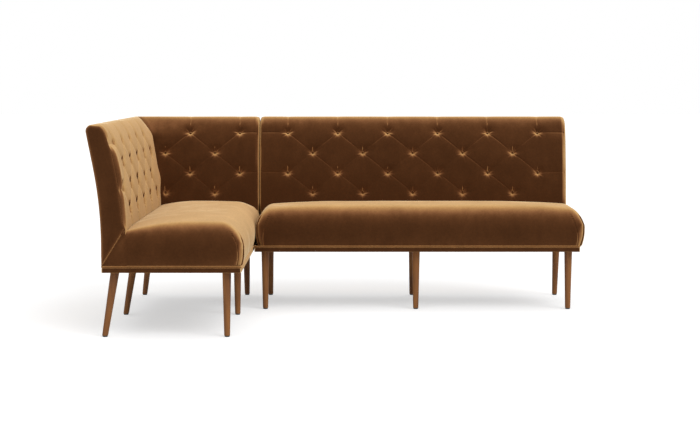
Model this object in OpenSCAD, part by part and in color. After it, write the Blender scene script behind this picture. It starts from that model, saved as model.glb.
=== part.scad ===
// Upholstered corner banquette: a straight bench beside a corner unit with a side wing.
// Z is up, the floor is Z = 0, and the bench is sat on from the -Y side.

/* [Overall] */
// Height of the legs with their glides
leg_h = 276; // [200:2:320]
// Height of the backs above the base
back_h = 596; // [540:2:640]
// Depth of the bench's base, and width of the corner unit's
frame_d = 582; // [550:1:640]
// Width of the bench's base
bench_w = 1518; // [1280:2:1800]
// Length of the corner unit's base
corner_l = 1423; // [1290:1:1700]
// Gap between the two bases
unit_gap = 6; // [6:1:14]

/* [Base] */
// Height of the wrapped base
base_h = 20; // [16:1:30]
// Width of the base's boards
board_w = 130; // [125:1:150]
// Thickness of the covering cloth where it wraps a board
cloth_t = 1; // [0.8:0.1:1.5]
// Width of the cloth turned under the boards
wrap_under_w = 90; // [88:1:110]
// Width of the cloth turned over the boards
wrap_over_w = 60; // [50:1:80]
// Diameter of the welt cord with its cloth
welt_d = 9; // [7:0.5:12]
// How far the welt's centre line lies inside the base's edge
welt_in = 1.5; // [1.2:0.1:4]
// Radius of the welt's centre line at the corners
welt_corner_r = 12; // [8:1:20]

/* [Legs] */
// Diameter of a leg at the top
leg_top_d = 37; // [30:1:42]
// Diameter of a leg at the glide
leg_foot_d = 25; // [22:1:28]
// Distance from the bench's ends to the centre of its end legs
leg_end_in = 48; // [40:1:60]
// Distance from the corner unit's front end to the centre of its first legs
corner_leg_in = 56; // [40:1:66]
// Distance from the sitters' edge to the centre of the upright legs
leg_front_in = 64; // [45:1:66]
// Reach of a splayed leg from its top to its foot
leg_splay = 45; // [20:1:50]
// Reach of the leg in the corner, along each side of it
corner_splay = 36; // [14:1:40]
// Distance from the outer edge to the centre of a splayed foot
splay_foot_in = 5; // [0:1:12]
// Diameter of a glide
glide_d = 22; // [18:1:22]
// Height of a glide below the wood
glide_h = 6; // [4:0.5:8]
// Diameter of the hanger bolts
bolt_d = 8; // [6:1:10]

/* [Seats] */
// Height of the seam between seat and back above the base
seat_seam_h = 164; // [160:2:190]
// Height of the seats' crown above the base
seat_crown_h = 200; // [194:2:216]
// Height of the seats' fullest line above the base
seat_full_h = 74; // [60:2:90]
// How far the bench's free end swells past its base
end_bulge = 27; // [12:1:34]
// How far the other free sides of the seats swell past the base
side_bulge = 10; // [10:1:11]
// How far the bench's inner end is pressed in beside the corner unit
pressed_in = 6; // [6:1:14]
// How far a free side draws in from its fullest line to the welt
draw_in = 10; // [4:1:11]
// Width of the rounded shoulder along the fronts
front_shoulder = 110; // [80:5:140]
// Width of the rounded shoulder at the bench's free end
end_shoulder = 120; // [100:5:160]
// Height that the crown loses towards the free sides, before the shoulders
crown_fall = 8; // [0:1:12]
// Width over which the crown falls towards the free sides
crown_fall_w = 300; // [200:10:340]
// Radius of the seats' free corners in plan
seat_corner_r = 42; // [36:1:44]

/* [Backs] */
// Thickness of the backs, front to rear
back_t = 107; // [104:1:112]
// Height above the base at which the backs start to lean
bend_h = 100; // [60:5:140]
// Radius of the bend
bend_r = 1720; // [1300:20:1900]
// Lean of the upper backs, in degrees
rake = 10.75; // [8:0.25:12]
// Depth of the rolled top edge
roll_d = 48; // [40:1:56]
// Height of the rolled top edge
roll_h = 140; // [120:2:160]
// Radius of the outer top edge
top_edge_r = 24; // [16:1:24]
// Distance from the bench's ends to the ends of its back
back_in = 8; // [4:1:8]
// Distance from the corner unit's ends to the ends of its back
corner_back_in = 0; // [0:1:8]
// Thickness of the end panels
panel_t = 10; // [8:1:12]
// Thickness of the outside backs
outside_t = 6; // [4:0.5:7]

/* [Tufts] */
// Distance between two tufts of a row
tuft_pitch = 247; // [200:1:290]
// Number of rows
tuft_rows = 4; // [3:1:5]
// Height of the lowest row above the seat seam
tuft_low_h = 63.5; // [50:0.5:70]
// Distance from the top edge down to the highest row
tuft_top_drop = 76; // [70:1:90]
// Distance from the bench's ends to its end tufts
bench_tuft_in = 142; // [110:1:170]
// How far the bench's tufts and its middle legs stand left of its middle
off_middle = 4; // [0:1:8]
// Distance from the side wing's front end to its end tufts
side_tuft_in = 88; // [60:1:110]
// Distance from the rear wing's right end to its end tufts
rear_tuft_in = 94; // [70:1:110]
// Distance from the corner to the side wing's first column of tufts
side_corner_in = 235; // [200:1:280]
// Distance from the corner to the rear wing's first column of tufts
rear_corner_in = 121; // [117:1:125]
// Depth of a tuft below the pad's surface, past the fold that it lies on
tuft_pit = 18; // [8:1:20]
// Depth of the folds between tufts
fold_depth = 4; // [3:1:8]
// Diameter of the small covered stud in a tuft
stud_d = 12; // [9:1:14]

/* [Frame] */
// Thickness of the seat rails
rail_t = 20; // [18:1:24]
// Height of the seat rails
rail_h = 104; // [90:2:106]
// Thickness of the back posts, along the back
post_t = 24; // [20:1:30]
// Depth of the back posts
post_w = 42; // [38:1:43]
// Height of the top rails
top_rail_h = 32; // [26:1:36]
// Height of the lower back rails
low_rail_h = 50; // [40:1:60]
// Width of a seat web
seat_web_w = 60; // [50:1:70]
// Width of a back web
back_web_w = 40; // [36:1:44]
// Thickness of the webs
web_t = 2; // [1.5:0.5:2.5]
// Thickness of the inside backs' tufted pads
pad_t = 31; // [30:0.5:34]
// Length of a joining plate under the seam between the units
plate_l = 160; // [130:5:200]
// Width of a joining plate
plate_w = 30; // [24:1:40]
// Thickness of a joining plate
plate_t = 3; // [2:0.5:4]

/* [Hidden] */
$fn = 48;

// Clearance between pieces that are glued, stapled or sewn together
fit_gap = 0.3;
// Overrun of a cut past the face that it opens
cut_over = 1;
// Radial clearance of a screw or bolt in its hole
hole_gap = 0.1;

velvet = [0.29, 0.17, 0.10];
velvet_pale = [0.62, 0.47, 0.31];
leg_wood = [0.52, 0.33, 0.18];
frame_wood = [0.80, 0.68, 0.48];
foam = [0.90, 0.86, 0.70];
web_brown = [0.55, 0.50, 0.42];
cloth_black = [0.08, 0.08, 0.08];
steel = [0.68, 0.69, 0.70];
glide_dark = [0.10, 0.09, 0.08];

// Heights
base_top = leg_h + base_h;
board_low = leg_h + cloth_t;
board_top = base_top - cloth_t;
seat_low = base_top + welt_d;
seam_z = base_top + seat_seam_h;
crown_z = base_top + seat_crown_h;
full_z = base_top + seat_full_h;
top_z = base_top + back_h;
bend_z = base_top + bend_h;
rail_top = base_top + rail_h;

// The lean of the outer face: upright, then an arc, then a straight slope
bend_end_z = bend_z + bend_r * sin(rake);
bend_end_out = bend_r * (1 - cos(rake));
function lean(z) = z <= bend_z ? 0
  : z <= bend_end_z ? bend_r - sqrt(pow(bend_r, 2) - pow(z - bend_z, 2))
  : bend_end_out + (z - bend_end_z) * tan(rake);

// How far the rolled top draws the inner face back
roll_z = top_z - roll_h;
function roll(z) = z <= roll_z ? 0 : roll_d * (1 - sqrt(max(0, 1 - pow((z - roll_z) / roll_h, 2))));

// Depth of the inner face in front of the base's rear edge
function inner_d(z) = back_t - lean(z) - roll(z);

// The rounded outer top edge
edge_z = top_z - top_edge_r;
edge_d = top_edge_r / cos(rake) - lean(edge_z);
back_reach = top_edge_r - edge_d;

// Places of the units: each has its own frame, along its rear edge and in depth from it
total_w = back_reach + frame_d + unit_gap + bench_w + end_bulge;
total_d = back_reach + corner_l + side_bulge;
corner_x = back_reach - total_w / 2;
bench_x = corner_x + frame_d + unit_gap;
rear_y = total_d / 2 - back_reach;
module at_bench() translate([bench_x, rear_y, 0]) mirror([0, 1, 0]) children();
module at_corner() translate([corner_x, rear_y, 0]) mirror([0, 1, 0]) children();
module at_side_wing() translate([corner_x, rear_y, 0]) rotate([0, 0, -90]) children();

// Boxes and runs in a unit's frame
module block(low, high) translate(low) cube(high - low);
module run(from, to) translate([from, 0, 0]) rotate([90, 0, 90]) linear_extrude(to - from) children();

// Keeps what lies on one wing's side of the corner's mitre plane
module mitred() intersection() {
  children();
  linear_extrude(top_z + top_edge_r)
    polygon([[-total_d, -total_d], [total_d, total_d], [2 * total_d, total_d], [2 * total_d, -total_d]]);
}

// An upright strip that follows the outer face, between two depths behind it
lean_steps = 12;
function lean_line(off, z0, z1, steps) =
  [for (i = [0:steps]) let (z = z0 + (z1 - z0) * i / steps) [off - lean(z), z]];
function turned(list) = [for (i = [len(list) - 1:-1:0]) list[i]];
module lean_band(z0, z1, near, far, steps = lean_steps)
  polygon(concat(lean_line(near, z0, z1, steps), turned(lean_line(far, z0, z1, steps))));

// Legs: centre of the top, then centre of the foot, in the unit's frame
splay_top = splay_foot_in + leg_splay;
diagonal_top = splay_foot_in + corner_splay;
corner_mid = (corner_l - corner_leg_in + splay_top) / 2;
bench_leg_a = [leg_end_in, bench_w / 2 - off_middle, bench_w - leg_end_in];
bench_legs = concat(
  [for (a = bench_leg_a) [[a, frame_d - leg_front_in], [a, frame_d - leg_front_in]]],
  [for (a = bench_leg_a) [[a, splay_top], [a, splay_foot_in]]]
);
upright_a = frame_d - leg_front_in;
corner_legs = [
  [[upright_a, corner_l - corner_leg_in], [upright_a, corner_l - corner_leg_in]],
  [[upright_a, corner_mid], [upright_a, corner_mid]],
  [[upright_a, splay_top], [upright_a, splay_foot_in]],
  [[splay_top, corner_l - corner_leg_in], [splay_foot_in, corner_l - corner_leg_in]],
  [[splay_top, corner_mid], [splay_foot_in, corner_mid]],
  [[diagonal_top, diagonal_top], [splay_foot_in, splay_foot_in]]
];

// Hanger bolts, their inserts, and the nails of the glides
bolt_in_leg = 35;
bolt_top = board_top - cloth_t;
insert_wall = 1.5;
insert_r = bolt_d / 2 + hole_gap + insert_wall;
insert_rim = 4;
insert_flange_r = insert_r + insert_rim;
insert_flange_t = 1.5;
insert_l = 12;
nail_r = 1.5;
nail_l = 18;
glide_edge_r = 2.5;

// Wood screws
screw_r = 2;
screw_head_r = 4;
screw_head_h = 2.5;
screw_l = 50;
plate_screw_l = 18;

// Seat frame
border_t = 14;
tuck_t = 3;
tuck_d = back_t + fit_gap;
bench_cavity = [pressed_in + draw_in + border_t, tuck_d + tuck_t, bench_w - border_t, frame_d - border_t];
corner_cavity = [tuck_d + tuck_t, tuck_d + tuck_t, frame_d - border_t, corner_l - border_t];
block_side = 60;
block_h = 70;
web_gap = 55;

// Back frame
post_near = outside_t + fit_gap;
post_far = post_near + post_w;
web_near = post_far + fit_gap;
foam_near = web_near + web_t + fit_gap;
end_post_a = back_in + panel_t + fit_gap;
corner_end_a = corner_back_in + panel_t + fit_gap;
corner_post_a = back_t - fit_gap - post_t;
flap_z = edge_z - top_edge_r / 3;
top_rail_z = edge_z - fit_gap;
top_rail_low = top_rail_z - top_rail_h;
low_rail_z = seam_z - low_rail_h;
pad_low_z = seam_z - post_t;
foam_top_z = top_rail_low - fit_gap;

// Tuft columns, counted from the free end
half_pitch = tuft_pitch / 2;
bench_halves = 2 * max(1, round((bench_w - 2 * bench_tuft_in) / tuft_pitch));
side_halves = max(1, round((corner_l - side_tuft_in - side_corner_in) / half_pitch));
rear_halves = max(1, round((frame_d - rear_tuft_in - rear_corner_in) / half_pitch));
function columns(first, last, halves) = [for (k = [0:halves]) last + (first - last) * k / halves];
bench_columns = columns(bench_tuft_in - off_middle, bench_w - bench_tuft_in - off_middle, bench_halves);
side_columns = columns(side_corner_in, corner_l - side_tuft_in, side_halves);
rear_columns = columns(rear_corner_in, frame_d - rear_tuft_in, rear_halves);

// Rows of points up the pad's face, over its roll and round its outer edge
row_cells = 4;
tuft_low_z = seam_z + tuft_low_h;
tuft_high_z = top_z - tuft_top_drop;
row_rise = (tuft_high_z - tuft_low_z) / (tuft_rows - 1);
face_last = (tuft_rows - 1) * row_cells;
roll_from = asin(max(0, (tuft_high_z - roll_z) / roll_h));
roll_steps = 4;
face_rows = [for (k = [-1:face_last]) let (z = tuft_low_z + k * row_rise / row_cells) [inner_d(z), z]];
roll_rows = [for (i = [1:roll_steps])
  let (t = roll_from + (90 - roll_from) * i / roll_steps, z = roll_z + roll_h * sin(t))
    [back_t - lean(z) - roll_d * (1 - cos(t)), z]];
edge_rows = [for (t = [90, 135, 180, 180 + rake])
  [edge_d + top_edge_r * cos(t), edge_z + top_edge_r * sin(t)]];
pad_foot = [inner_d(pad_low_z), pad_low_z];
pad_line = concat([pad_foot], face_rows, roll_rows, edge_rows, [[-lean(flap_z), flap_z]]);
row_n = len(pad_line);
function row_of(r) = 2 + r * row_cells;

// Unit normal of the line at each row, towards the sitter, and the distance run along the line
function normal(i) =
  let (v = pad_line[min(i + 1, row_n - 1)] - pad_line[max(i - 1, 0)]) [v[1], -v[0]] / norm(v);
normals = [for (i = [0:row_n - 1]) normal(i)];
function path_to(i) = i == 0 ? 0 : path_to(i - 1) + norm(pad_line[i] - pad_line[i - 1]);
path = [for (i = [0:row_n - 1]) path_to(i)];
pleat_end = path[row_n - len(edge_rows)];

// How much of the padding's depth each row has: all on the face, none at the outer seam
function softness(i) = i == 0 ? 0 : min(1, (row_n - 1 - i) / (row_n - 1 - row_of(tuft_rows - 1)));

// A fold or a tuft fades out over these widths
fold_w = 38;
pit_w = 40;
end_round = 2;
end_round_w = 45;
function fade(x) = pow(1 - min(1, x), 2);
function to_segment(p, q) =
  let (v = q[1] - q[0], t = max(0, min(1, (p - q[0]) * v / (v * v)))) norm(p - q[0] - t * v);

// Tufts of a pad as [place along the back, path], and the folds that join them
function is_tuft(k, r) = (k + tuft_rows - 1 - r) % 2 == 0;
function tufts(cols) = [for (r = [0:tuft_rows - 1]) for (k = [0:len(cols) - 1])
  if (is_tuft(k, r)) [cols[k], path[row_of(r)]]];
function folds(cols, ends) = let (n = len(cols) - 1) concat(
  [for (r = [0:tuft_rows - 2]) for (k = [0:n]) for (s = [-1, 1])
    if (is_tuft(k, r) && k + s >= 0 && k + s <= n)
      [[cols[k], path[row_of(r)]], [cols[k + s], path[row_of(r + 1)]]]],
  [for (k = [0:n]) if (is_tuft(k, tuft_rows - 1))
    [[cols[k], path[row_of(tuft_rows - 1)]], [cols[k], pleat_end]]],
  [for (k = [0:n]) if (is_tuft(k, 0)) [[cols[k], path[row_of(0)]], [cols[k], 0]]],
  [for (r = [0:tuft_rows - 1]) for (e = ends)
    let (k = e[0] == 0 ? 0 : n) if (is_tuft(k, r)) [[cols[k], path[row_of(r)]], [e[1], path[row_of(r)]]]]
);

// Places of a pad's columns: [share of the way from the mitre, place], or [undef, place]
end_shares = [0.3, 0.6, 0.85, 1];
mitre_shares = [0, 0.35, 0.7];
mitre_room = 8;
col_cells = 4;
function grid_columns(cols, mitre, end) =
  let (n = len(cols) - 1, step = (cols[0] - cols[n]) / n / col_cells, limit = back_t + mitre_room,
       extra = mitre ? floor(max(0, cols[n] - limit) / step) : 0, first = cols[n] - extra * step)
  concat(
    mitre ? [for (s = mitre_shares) [s, first]]
      : [for (s = turned(end_shares)) [undef, cols[n] - s * (cols[n] - end_post_a)]],
    [for (j = [0:n * col_cells + extra]) [undef, first + j * step]],
    [for (s = end_shares) [undef, cols[0] + s * (end - cols[0])]]
  );

function sunk(a, i, tuft_list, fold_list, ends) =
  softness(i) * (
    fold_depth * max([for (f = fold_list) fade(to_segment([a, path[i]], f) / fold_w)])
    + tuft_pit * max([for (t = tuft_list) fade(norm([a, path[i]] - t) / pit_w)])
    + end_round * max([for (e = ends) fade(abs(a - e[1]) / end_round_w)])
  );

// The pad's back, from its lower edge over the top rail to the outer seam
slab_steps = 14;
function slab_front(off) = [for (i = [0:slab_steps])
  let (z = pad_low_z + (foam_top_z - pad_low_z) * i / slab_steps) [inner_d(z) - pad_t - off, z]];
pad_back = concat(
  slab_front(0),
  [[post_far + fit_gap - lean(top_rail_z), top_rail_z + fit_gap],
   [outside_t - lean(top_rail_z), top_rail_z + fit_gap],
   [outside_t - lean(flap_z), flap_z]]
);

// A tufted pad: face rows by columns, a plain back, and fans that close its edges
module pad(cols, mitre, end) {
  ends = mitre ? [[0, end]] : [[0, end], [1, end_post_a]];
  grid = grid_columns(cols, mitre, end);
  tuft_list = tufts(cols);
  fold_list = folds(cols, ends);
  nc = len(grid);
  nb = len(pad_back);
  face = [for (i = [0:row_n - 1]) for (g = grid)
    let (p = pad_line[i], at_mitre = g[0] == 0,
         place = is_undef(g[0]) ? g[1] : p[0] + g[0] * (g[1] - p[0]),
         deep = at_mitre ? 0 : sunk(place, i, tuft_list, fold_list, ends),
         q = p - deep * normals[i])
      [at_mitre ? q[0] : mitre ? max(place, q[0]) : place, q[0], q[1]]];
  back = [for (b = pad_back) for (s = [0, 1]) [s == 1 ? end : mitre ? b[0] : end_post_a, b[0], b[1]]];
  function f(i, j) = i * nc + j;
  function b(i, s) = row_n * nc + i * 2 + s;
  mid = floor(nc / 2);
  cells = [for (i = [0:row_n - 2]) for (j = [0:nc - 2])
    let (down = (i + floor(j / col_cells)) % 2 == 0)
      each down ? [[f(i, j), f(i, j + 1), f(i + 1, j + 1)], [f(i, j), f(i + 1, j + 1), f(i + 1, j)]]
                : [[f(i, j), f(i, j + 1), f(i + 1, j)], [f(i + 1, j), f(i, j + 1), f(i + 1, j + 1)]]];
  backs = [for (i = [0:nb - 2]) each
    [[b(i, 0), b(i + 1, 1), b(i, 1)], [b(i, 0), b(i + 1, 0), b(i + 1, 1)]]];
  low_fan = concat(
    [for (j = [0:mid - 1]) [b(0, 0), f(0, j + 1), f(0, j)]],
    [[b(0, 0), b(0, 1), f(0, mid)]],
    [for (j = [mid:nc - 2]) [b(0, 1), f(0, j + 1), f(0, j)]]);
  top_fan = concat(
    [for (j = [0:mid - 1]) [b(nb - 1, 0), f(row_n - 1, j), f(row_n - 1, j + 1)]],
    [[b(nb - 1, 0), f(row_n - 1, mid), b(nb - 1, 1)]],
    [for (j = [mid:nc - 2]) [b(nb - 1, 1), f(row_n - 1, j), f(row_n - 1, j + 1)]]);
  first_cap = concat([for (i = [0:row_n - 1]) f(i, 0)], [for (i = [nb - 1:-1:0]) b(i, 0)]);
  last_cap = concat([for (i = [0:nb - 1]) b(i, 1)], [for (i = [row_n - 1:-1:0]) f(i, nc - 1)]);
  polyhedron(concat(face, back), concat(cells, backs, low_fan, top_fan, [first_cap, last_cap]),
    convexity = 12);
}

// Bottom of the pit of a row's tufts, and what is sunk in it
function pit_of(r) = pad_line[row_of(r)] - (fold_depth + tuft_pit) * normals[row_of(r)];
twine_r = 1.2;
twine_hole_r = 5;
web_hole_r = 2;
toggle_r = 3;
toggle_l = 24;
stud_gap = 0.8;
stud_slope_share = 0.6;
stud_dome_share = 0.18;
stud_slope_h = stud_d * stud_slope_share;
stud_dome_h = stud_d * stud_dome_share;
stud_tip_r = 0.8;

// A stud sunk in a tuft, and behind the pad its twine and toggle
module stud(a, r) {
  pit = pit_of(r);
  n = normals[row_of(r)];
  start = inner_d(pit[1]) - pad_t - stud_gap;
  stop = post_far - fit_gap - lean(pit[1]) - 2 * toggle_r;
  translate([a, pit[0], pit[1]]) rotate([-atan2(n[0], n[1]), 0, 0]) translate([0, 0, stud_gap])
    rotate_extrude() polygon(concat(
      [[0, 0], [stud_tip_r, 0]],
      [for (t = [0:18:90]) [stud_d / 2 * cos(t), stud_slope_h + stud_dome_h * sin(t)]]
    ));
  translate([a, stop + toggle_r, pit[1]]) {
    rotate([-90, 0, 0]) cylinder(h = start - stop - toggle_r, r = twine_r);
    rotate([0, 90, 0]) cylinder(h = toggle_l, r = toggle_r, center = true);
  }
}
module studs(cols) for (r = [0:tuft_rows - 1]) for (k = [0:len(cols) - 1])
  if (is_tuft(k, r)) stud(cols[k], r);

// Straight holes through the foam and the webs for the twine
module twine_holes(cols, rows, hole_r) for (r = rows) for (k = [0:len(cols) - 1]) if (is_tuft(k, r))
  translate([cols[k], -back_reach, pit_of(r)[1]]) rotate([-90, 0, 0])
    cylinder(h = back_reach + back_t + cut_over, r = hole_r);

all_rows = [0:tuft_rows - 1];

// Foam slab of a back, behind the pad
module back_slab() polygon(concat(
  lean_line(foam_near, pad_low_z, foam_top_z, slab_steps),
  turned(slab_front(fit_gap))
));

// Webs across a back's posts, one behind each row of tufts
function row_z(r) = tuft_low_z + r * row_rise;
module back_webs(cols, from, to) for (r = all_rows) difference() {
  run(from, to)
    lean_band(row_z(r) - back_web_w / 2, row_z(r) + back_web_w / 2, web_near, web_near + web_t, 2);
  twine_holes(cols, [r], web_hole_r);
}

// Posts, with the holes of the screws that hold their feet
function post_screw(a) = [a + post_t / 2, post_near + post_w / 3];
module back_posts(posts) for (a = posts) difference() {
  run(a, a + post_t) lean_band(base_top, top_rail_low, post_near, post_far);
  screw_hole(post_screw(a));
}
module back_rails(posts, from, to) {
  run(from, to) lean_band(top_rail_low, top_rail_z, post_near, post_far, 1);
  for (i = [0:len(posts) - 2])
    run(posts[i] + post_t, posts[i + 1]) lean_band(low_rail_z, seam_z, post_near, post_far, 2);
}
function post_places(cols, first, last, gaps) = let (n = len(cols) - 1) concat(
  [first],
  [for (g = gaps) cols[n - g] + (cols[0] - cols[n]) / n / 2 - post_t / 2],
  [last]
);
bench_posts = post_places(bench_columns, end_post_a, bench_w - end_post_a - post_t,
  [floor(bench_halves / 4), bench_halves - 1 - floor(bench_halves / 4)]);
side_posts = post_places(side_columns, corner_post_a, corner_l - corner_end_a - post_t,
  [for (g = [1:3:side_halves - 1]) g]);
rear_posts = post_places(rear_columns, corner_post_a, frame_d - corner_end_a - post_t,
  [for (g = [1:3:rear_halves - 1]) g]);

// Outline of an end panel: the back's section, less its rounded inner edge, down to the seam
knee_share = 0.78;
knee_drop_share = 0.16;
knee_d = back_t * knee_share;
knee_z = seam_z - (seam_z - seat_low) * knee_drop_share;
toe_d = 2;
panel_rows = [for (i = [1:row_n - 2]) pad_line[i] - end_round * softness(i) * normals[i]];
module panel_outline() polygon(concat(
  [[toe_d, seat_low + fit_gap], [knee_d, knee_z + fit_gap], [inner_d(seam_z) - end_round, seam_z]],
  panel_rows,
  turned(lean_line(0, seat_low + fit_gap, flap_z, lean_steps))
));
module end_panel(from) run(from, from + panel_t) panel_outline();

// The seat's border under an end panel, cut on the diagonal
module gusset(from) run(from, from + panel_t) polygon([
  [toe_d, seat_low],
  [back_t, seat_low],
  [back_t, seam_z - fit_gap - end_round],
  [knee_d + fit_gap, knee_z - fit_gap]
]);

module outside_band() lean_band(seat_low, flap_z - fit_gap, 0, outside_t);

// Base boards of a unit, with holes for the inserts, bolts and screws
module board_frame(w, l) {
  low = cloth_t;
  for (d = [low, l - low - board_w]) block([low, d, board_low], [w - low, d + board_w, board_top]);
  for (a = [low, w - low - board_w])
    block([a, low + board_w + fit_gap, board_low], [a + board_w, l - low - board_w - fit_gap, board_top]);
}
module bench_boards() {
  board_frame(bench_w, frame_d);
  in = cloth_t + board_w + fit_gap;
  block([(bench_w - board_w) / 2, in, board_low], [(bench_w + board_w) / 2, frame_d - in, board_top]);
}
module corner_boards() {
  board_frame(frame_d, corner_l);
  in = cloth_t + board_w + fit_gap;
  block([in, corner_mid - board_w / 2, board_low], [frame_d - in, corner_mid + board_w / 2, board_top]);
}
module insert_holes(legs) for (leg = legs) translate(concat(leg[0], 0)) {
  translate([0, 0, board_low - cut_over]) cylinder(h = base_h + 2 * cut_over, r = bolt_d / 2 + hole_gap);
  translate([0, 0, board_top - insert_l]) cylinder(h = insert_l + cut_over, r = insert_r + hole_gap);
  translate([0, 0, board_top - insert_flange_t])
    cylinder(h = insert_flange_t + cut_over, r = insert_flange_r + hole_gap);
}
module bolt_holes(legs) for (leg = legs) translate(concat(leg[0], leg_h - bolt_in_leg - cut_over))
  cylinder(h = bolt_in_leg + base_h, r = bolt_d / 2 + hole_gap);

// Screws up through the base boards
module screw_hole(at) translate([at[0], at[1], board_low]) {
  translate([0, 0, -cut_over]) cylinder(h = screw_head_h + cut_over, r = screw_head_r + hole_gap);
  cylinder(h = screw_l + hole_gap, r = screw_r + hole_gap);
}
module screw(at) translate([at[0], at[1], board_low]) {
  cylinder(h = screw_head_h, r = screw_head_r);
  cylinder(h = screw_l, r = screw_r);
}
function frame_screws_of(c, shares) = [for (s = shares) for (d = [c[1] + rail_t / 2, c[3] - rail_t / 2])
  [c[0] + s * (c[2] - c[0]), d]];
bench_screw_shares = [0.12, 0.38, 0.62, 0.88];
corner_screw_shares = [0.2, 0.8];
bench_screws = concat(
  frame_screws_of(bench_cavity, bench_screw_shares),
  [for (a = bench_posts) post_screw(a)]
);
corner_screws = concat(
  frame_screws_of(corner_cavity, corner_screw_shares),
  [for (a = rear_posts) post_screw(a)]
);
side_screws = [for (a = side_posts) post_screw(a)];
module turned_over() mirror([1, -1, 0]) children();

// Joining plates across the gap, clear of the legs, and their screws from below
plate_shares = [0.27, 0.7];
plate_screw_in = 14;
plate_d = [for (s = plate_shares) s * frame_d];
seam_a = -unit_gap / 2;
plate_screw_a = [for (side = [-1, 1]) for (reach = [plate_l / 2 - plate_screw_in, plate_l / 4])
  seam_a + side * reach];
module plate_screws(over) for (a = plate_screw_a) for (d = plate_d) translate([a, d, leg_h - plate_t]) {
  cylinder(h = plate_screw_l + over, r = screw_r + over);
  if (over == 0) mirror([0, 0, 1]) cylinder(h = screw_head_h, r = screw_head_r);
}

// Openings in the base's cloth for the heads of the frame's screws
module head_holes(places) for (p = places) translate([p[0], p[1], leg_h - cut_over])
  cylinder(h = base_h + 2 * cut_over, r = screw_head_r + hole_gap);

// Cloth wrapped round the edge of the base boards
module base_cover(w, l) difference() {
  block([0, 0, leg_h], [w, l, base_top]);
  block([cloth_t, cloth_t, board_low], [w - cloth_t, l - cloth_t, board_top]);
  block([wrap_under_w, wrap_under_w, leg_h - cut_over],
        [w - wrap_under_w, l - wrap_under_w, board_low + cut_over]);
  block([wrap_over_w, wrap_over_w, board_top - cut_over],
        [w - wrap_over_w, l - wrap_over_w, base_top + cut_over]);
}
module dust_cover(w, l) {
  inset = wrap_under_w + fit_gap;
  block([inset, inset, leg_h], [w - inset, l - inset, board_low]);
}

// Welt: a closed loop of cord round the top of the base
module welt(w, l) {
  r = (welt_d - fit_gap) / 2;
  z = base_top + welt_d / 2;
  c = welt_in + welt_corner_r;
  for (d = [welt_in, l - welt_in]) translate([c, d, z]) rotate([0, 90, 0]) cylinder(h = w - 2 * c, r = r);
  for (a = [welt_in, w - welt_in]) translate([a, c, z]) rotate([-90, 0, 0]) cylinder(h = l - 2 * c, r = r);
  for (q = [[c, c, 180], [w - c, c, 270], [w - c, l - c, 0], [c, l - c, 90]])
    translate([q[0], q[1], z]) rotate([0, 0, q[2]]) rotate_extrude(angle = 90)
      translate([welt_corner_r, 0]) circle(r);
}

// Seat rails inside the cavity of a seat's cover, with a strut across the middle
module seat_rails(c, strut_along) {
  for (d = [c[1] + fit_gap, c[3] - fit_gap - rail_t])
    block([c[0] + fit_gap, d, base_top], [c[2] - fit_gap, d + rail_t, rail_top]);
  for (a = [c[0] + fit_gap, c[2] - fit_gap - rail_t])
    block([a, c[1] + 2 * fit_gap + rail_t, base_top], [a + rail_t, c[3] - 2 * fit_gap - rail_t, rail_top]);
  mid = [(c[0] + c[2]) / 2, (c[1] + c[3]) / 2];
  in = 2 * fit_gap + rail_t;
  strut_top = rail_top - rail_t;
  if (strut_along)
    block([c[0] + in, mid[1] - rail_t / 2, base_top], [c[2] - in, mid[1] + rail_t / 2, strut_top]);
  else block([mid[0] - rail_t / 2, c[1] + in, base_top], [mid[0] + rail_t / 2, c[3] - in, strut_top]);
}
module blocks_in(c) {
  in = 2 * fit_gap + rail_t;
  for (p = [[c[0] + in, c[1] + in, 1, 1], [c[2] - in, c[1] + in, -1, 1],
            [c[0] + in, c[3] - in, 1, -1], [c[2] - in, c[3] - in, -1, -1]])
    translate([p[0], p[1], rail_top - block_h]) linear_extrude(block_h - fit_gap)
      polygon([[0, 0], [p[2] * block_side, 0], [0, p[3] * block_side]]);
}

// Elastic webs over the rails: short ones side by side, then long ones on top
long_web_n = 3;
module seat_webs(c) {
  size = [c[2] - c[0] - 2 * fit_gap, c[3] - c[1] - 2 * fit_gap];
  short_axis = size[0] < size[1] ? 0 : 1;
  long_size = size[1 - short_axis];
  n = floor((long_size - web_gap) / (seat_web_w + web_gap));
  origin = [c[0] + fit_gap, c[1] + fit_gap];
  for (i = [0:n - 1]) {
    at = long_size * (i + 0.5) / n - seat_web_w / 2;
    low = short_axis == 1 ? [at, 0] : [0, at];
    high = short_axis == 1 ? [at + seat_web_w, size[1]] : [size[0], at + seat_web_w];
    block(concat(origin + low, rail_top), concat(origin + high, rail_top + web_t));
  }
  for (i = [0:long_web_n - 1]) {
    at = size[short_axis] * (i + 0.5) / long_web_n - seat_web_w / 2;
    low = short_axis == 1 ? [0, at] : [at, 0];
    high = short_axis == 1 ? [size[0], at + seat_web_w] : [at + seat_web_w, size[1]];
    block(concat(origin + low, foam_low - web_t), concat(origin + high, foam_low));
  }
}

// Levels of a seat's foam: height, inset from the free sides, inset from the tucked sides
foam_low = rail_top + 2 * web_t + fit_gap;
foam_rise_shares = [0.52, 0.8];
foam_in_shares = [0.24, 0.42];
foam_tuck_shares = [0, 0.36];
foam_levels = concat([[foam_low + fit_gap, 0, 0]], [for (i = [0, 1])
  [foam_low + (seam_z - foam_low) * foam_rise_shares[i],
   front_shoulder * foam_in_shares[i], front_shoulder * foam_tuck_shares[i]]]);
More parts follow.
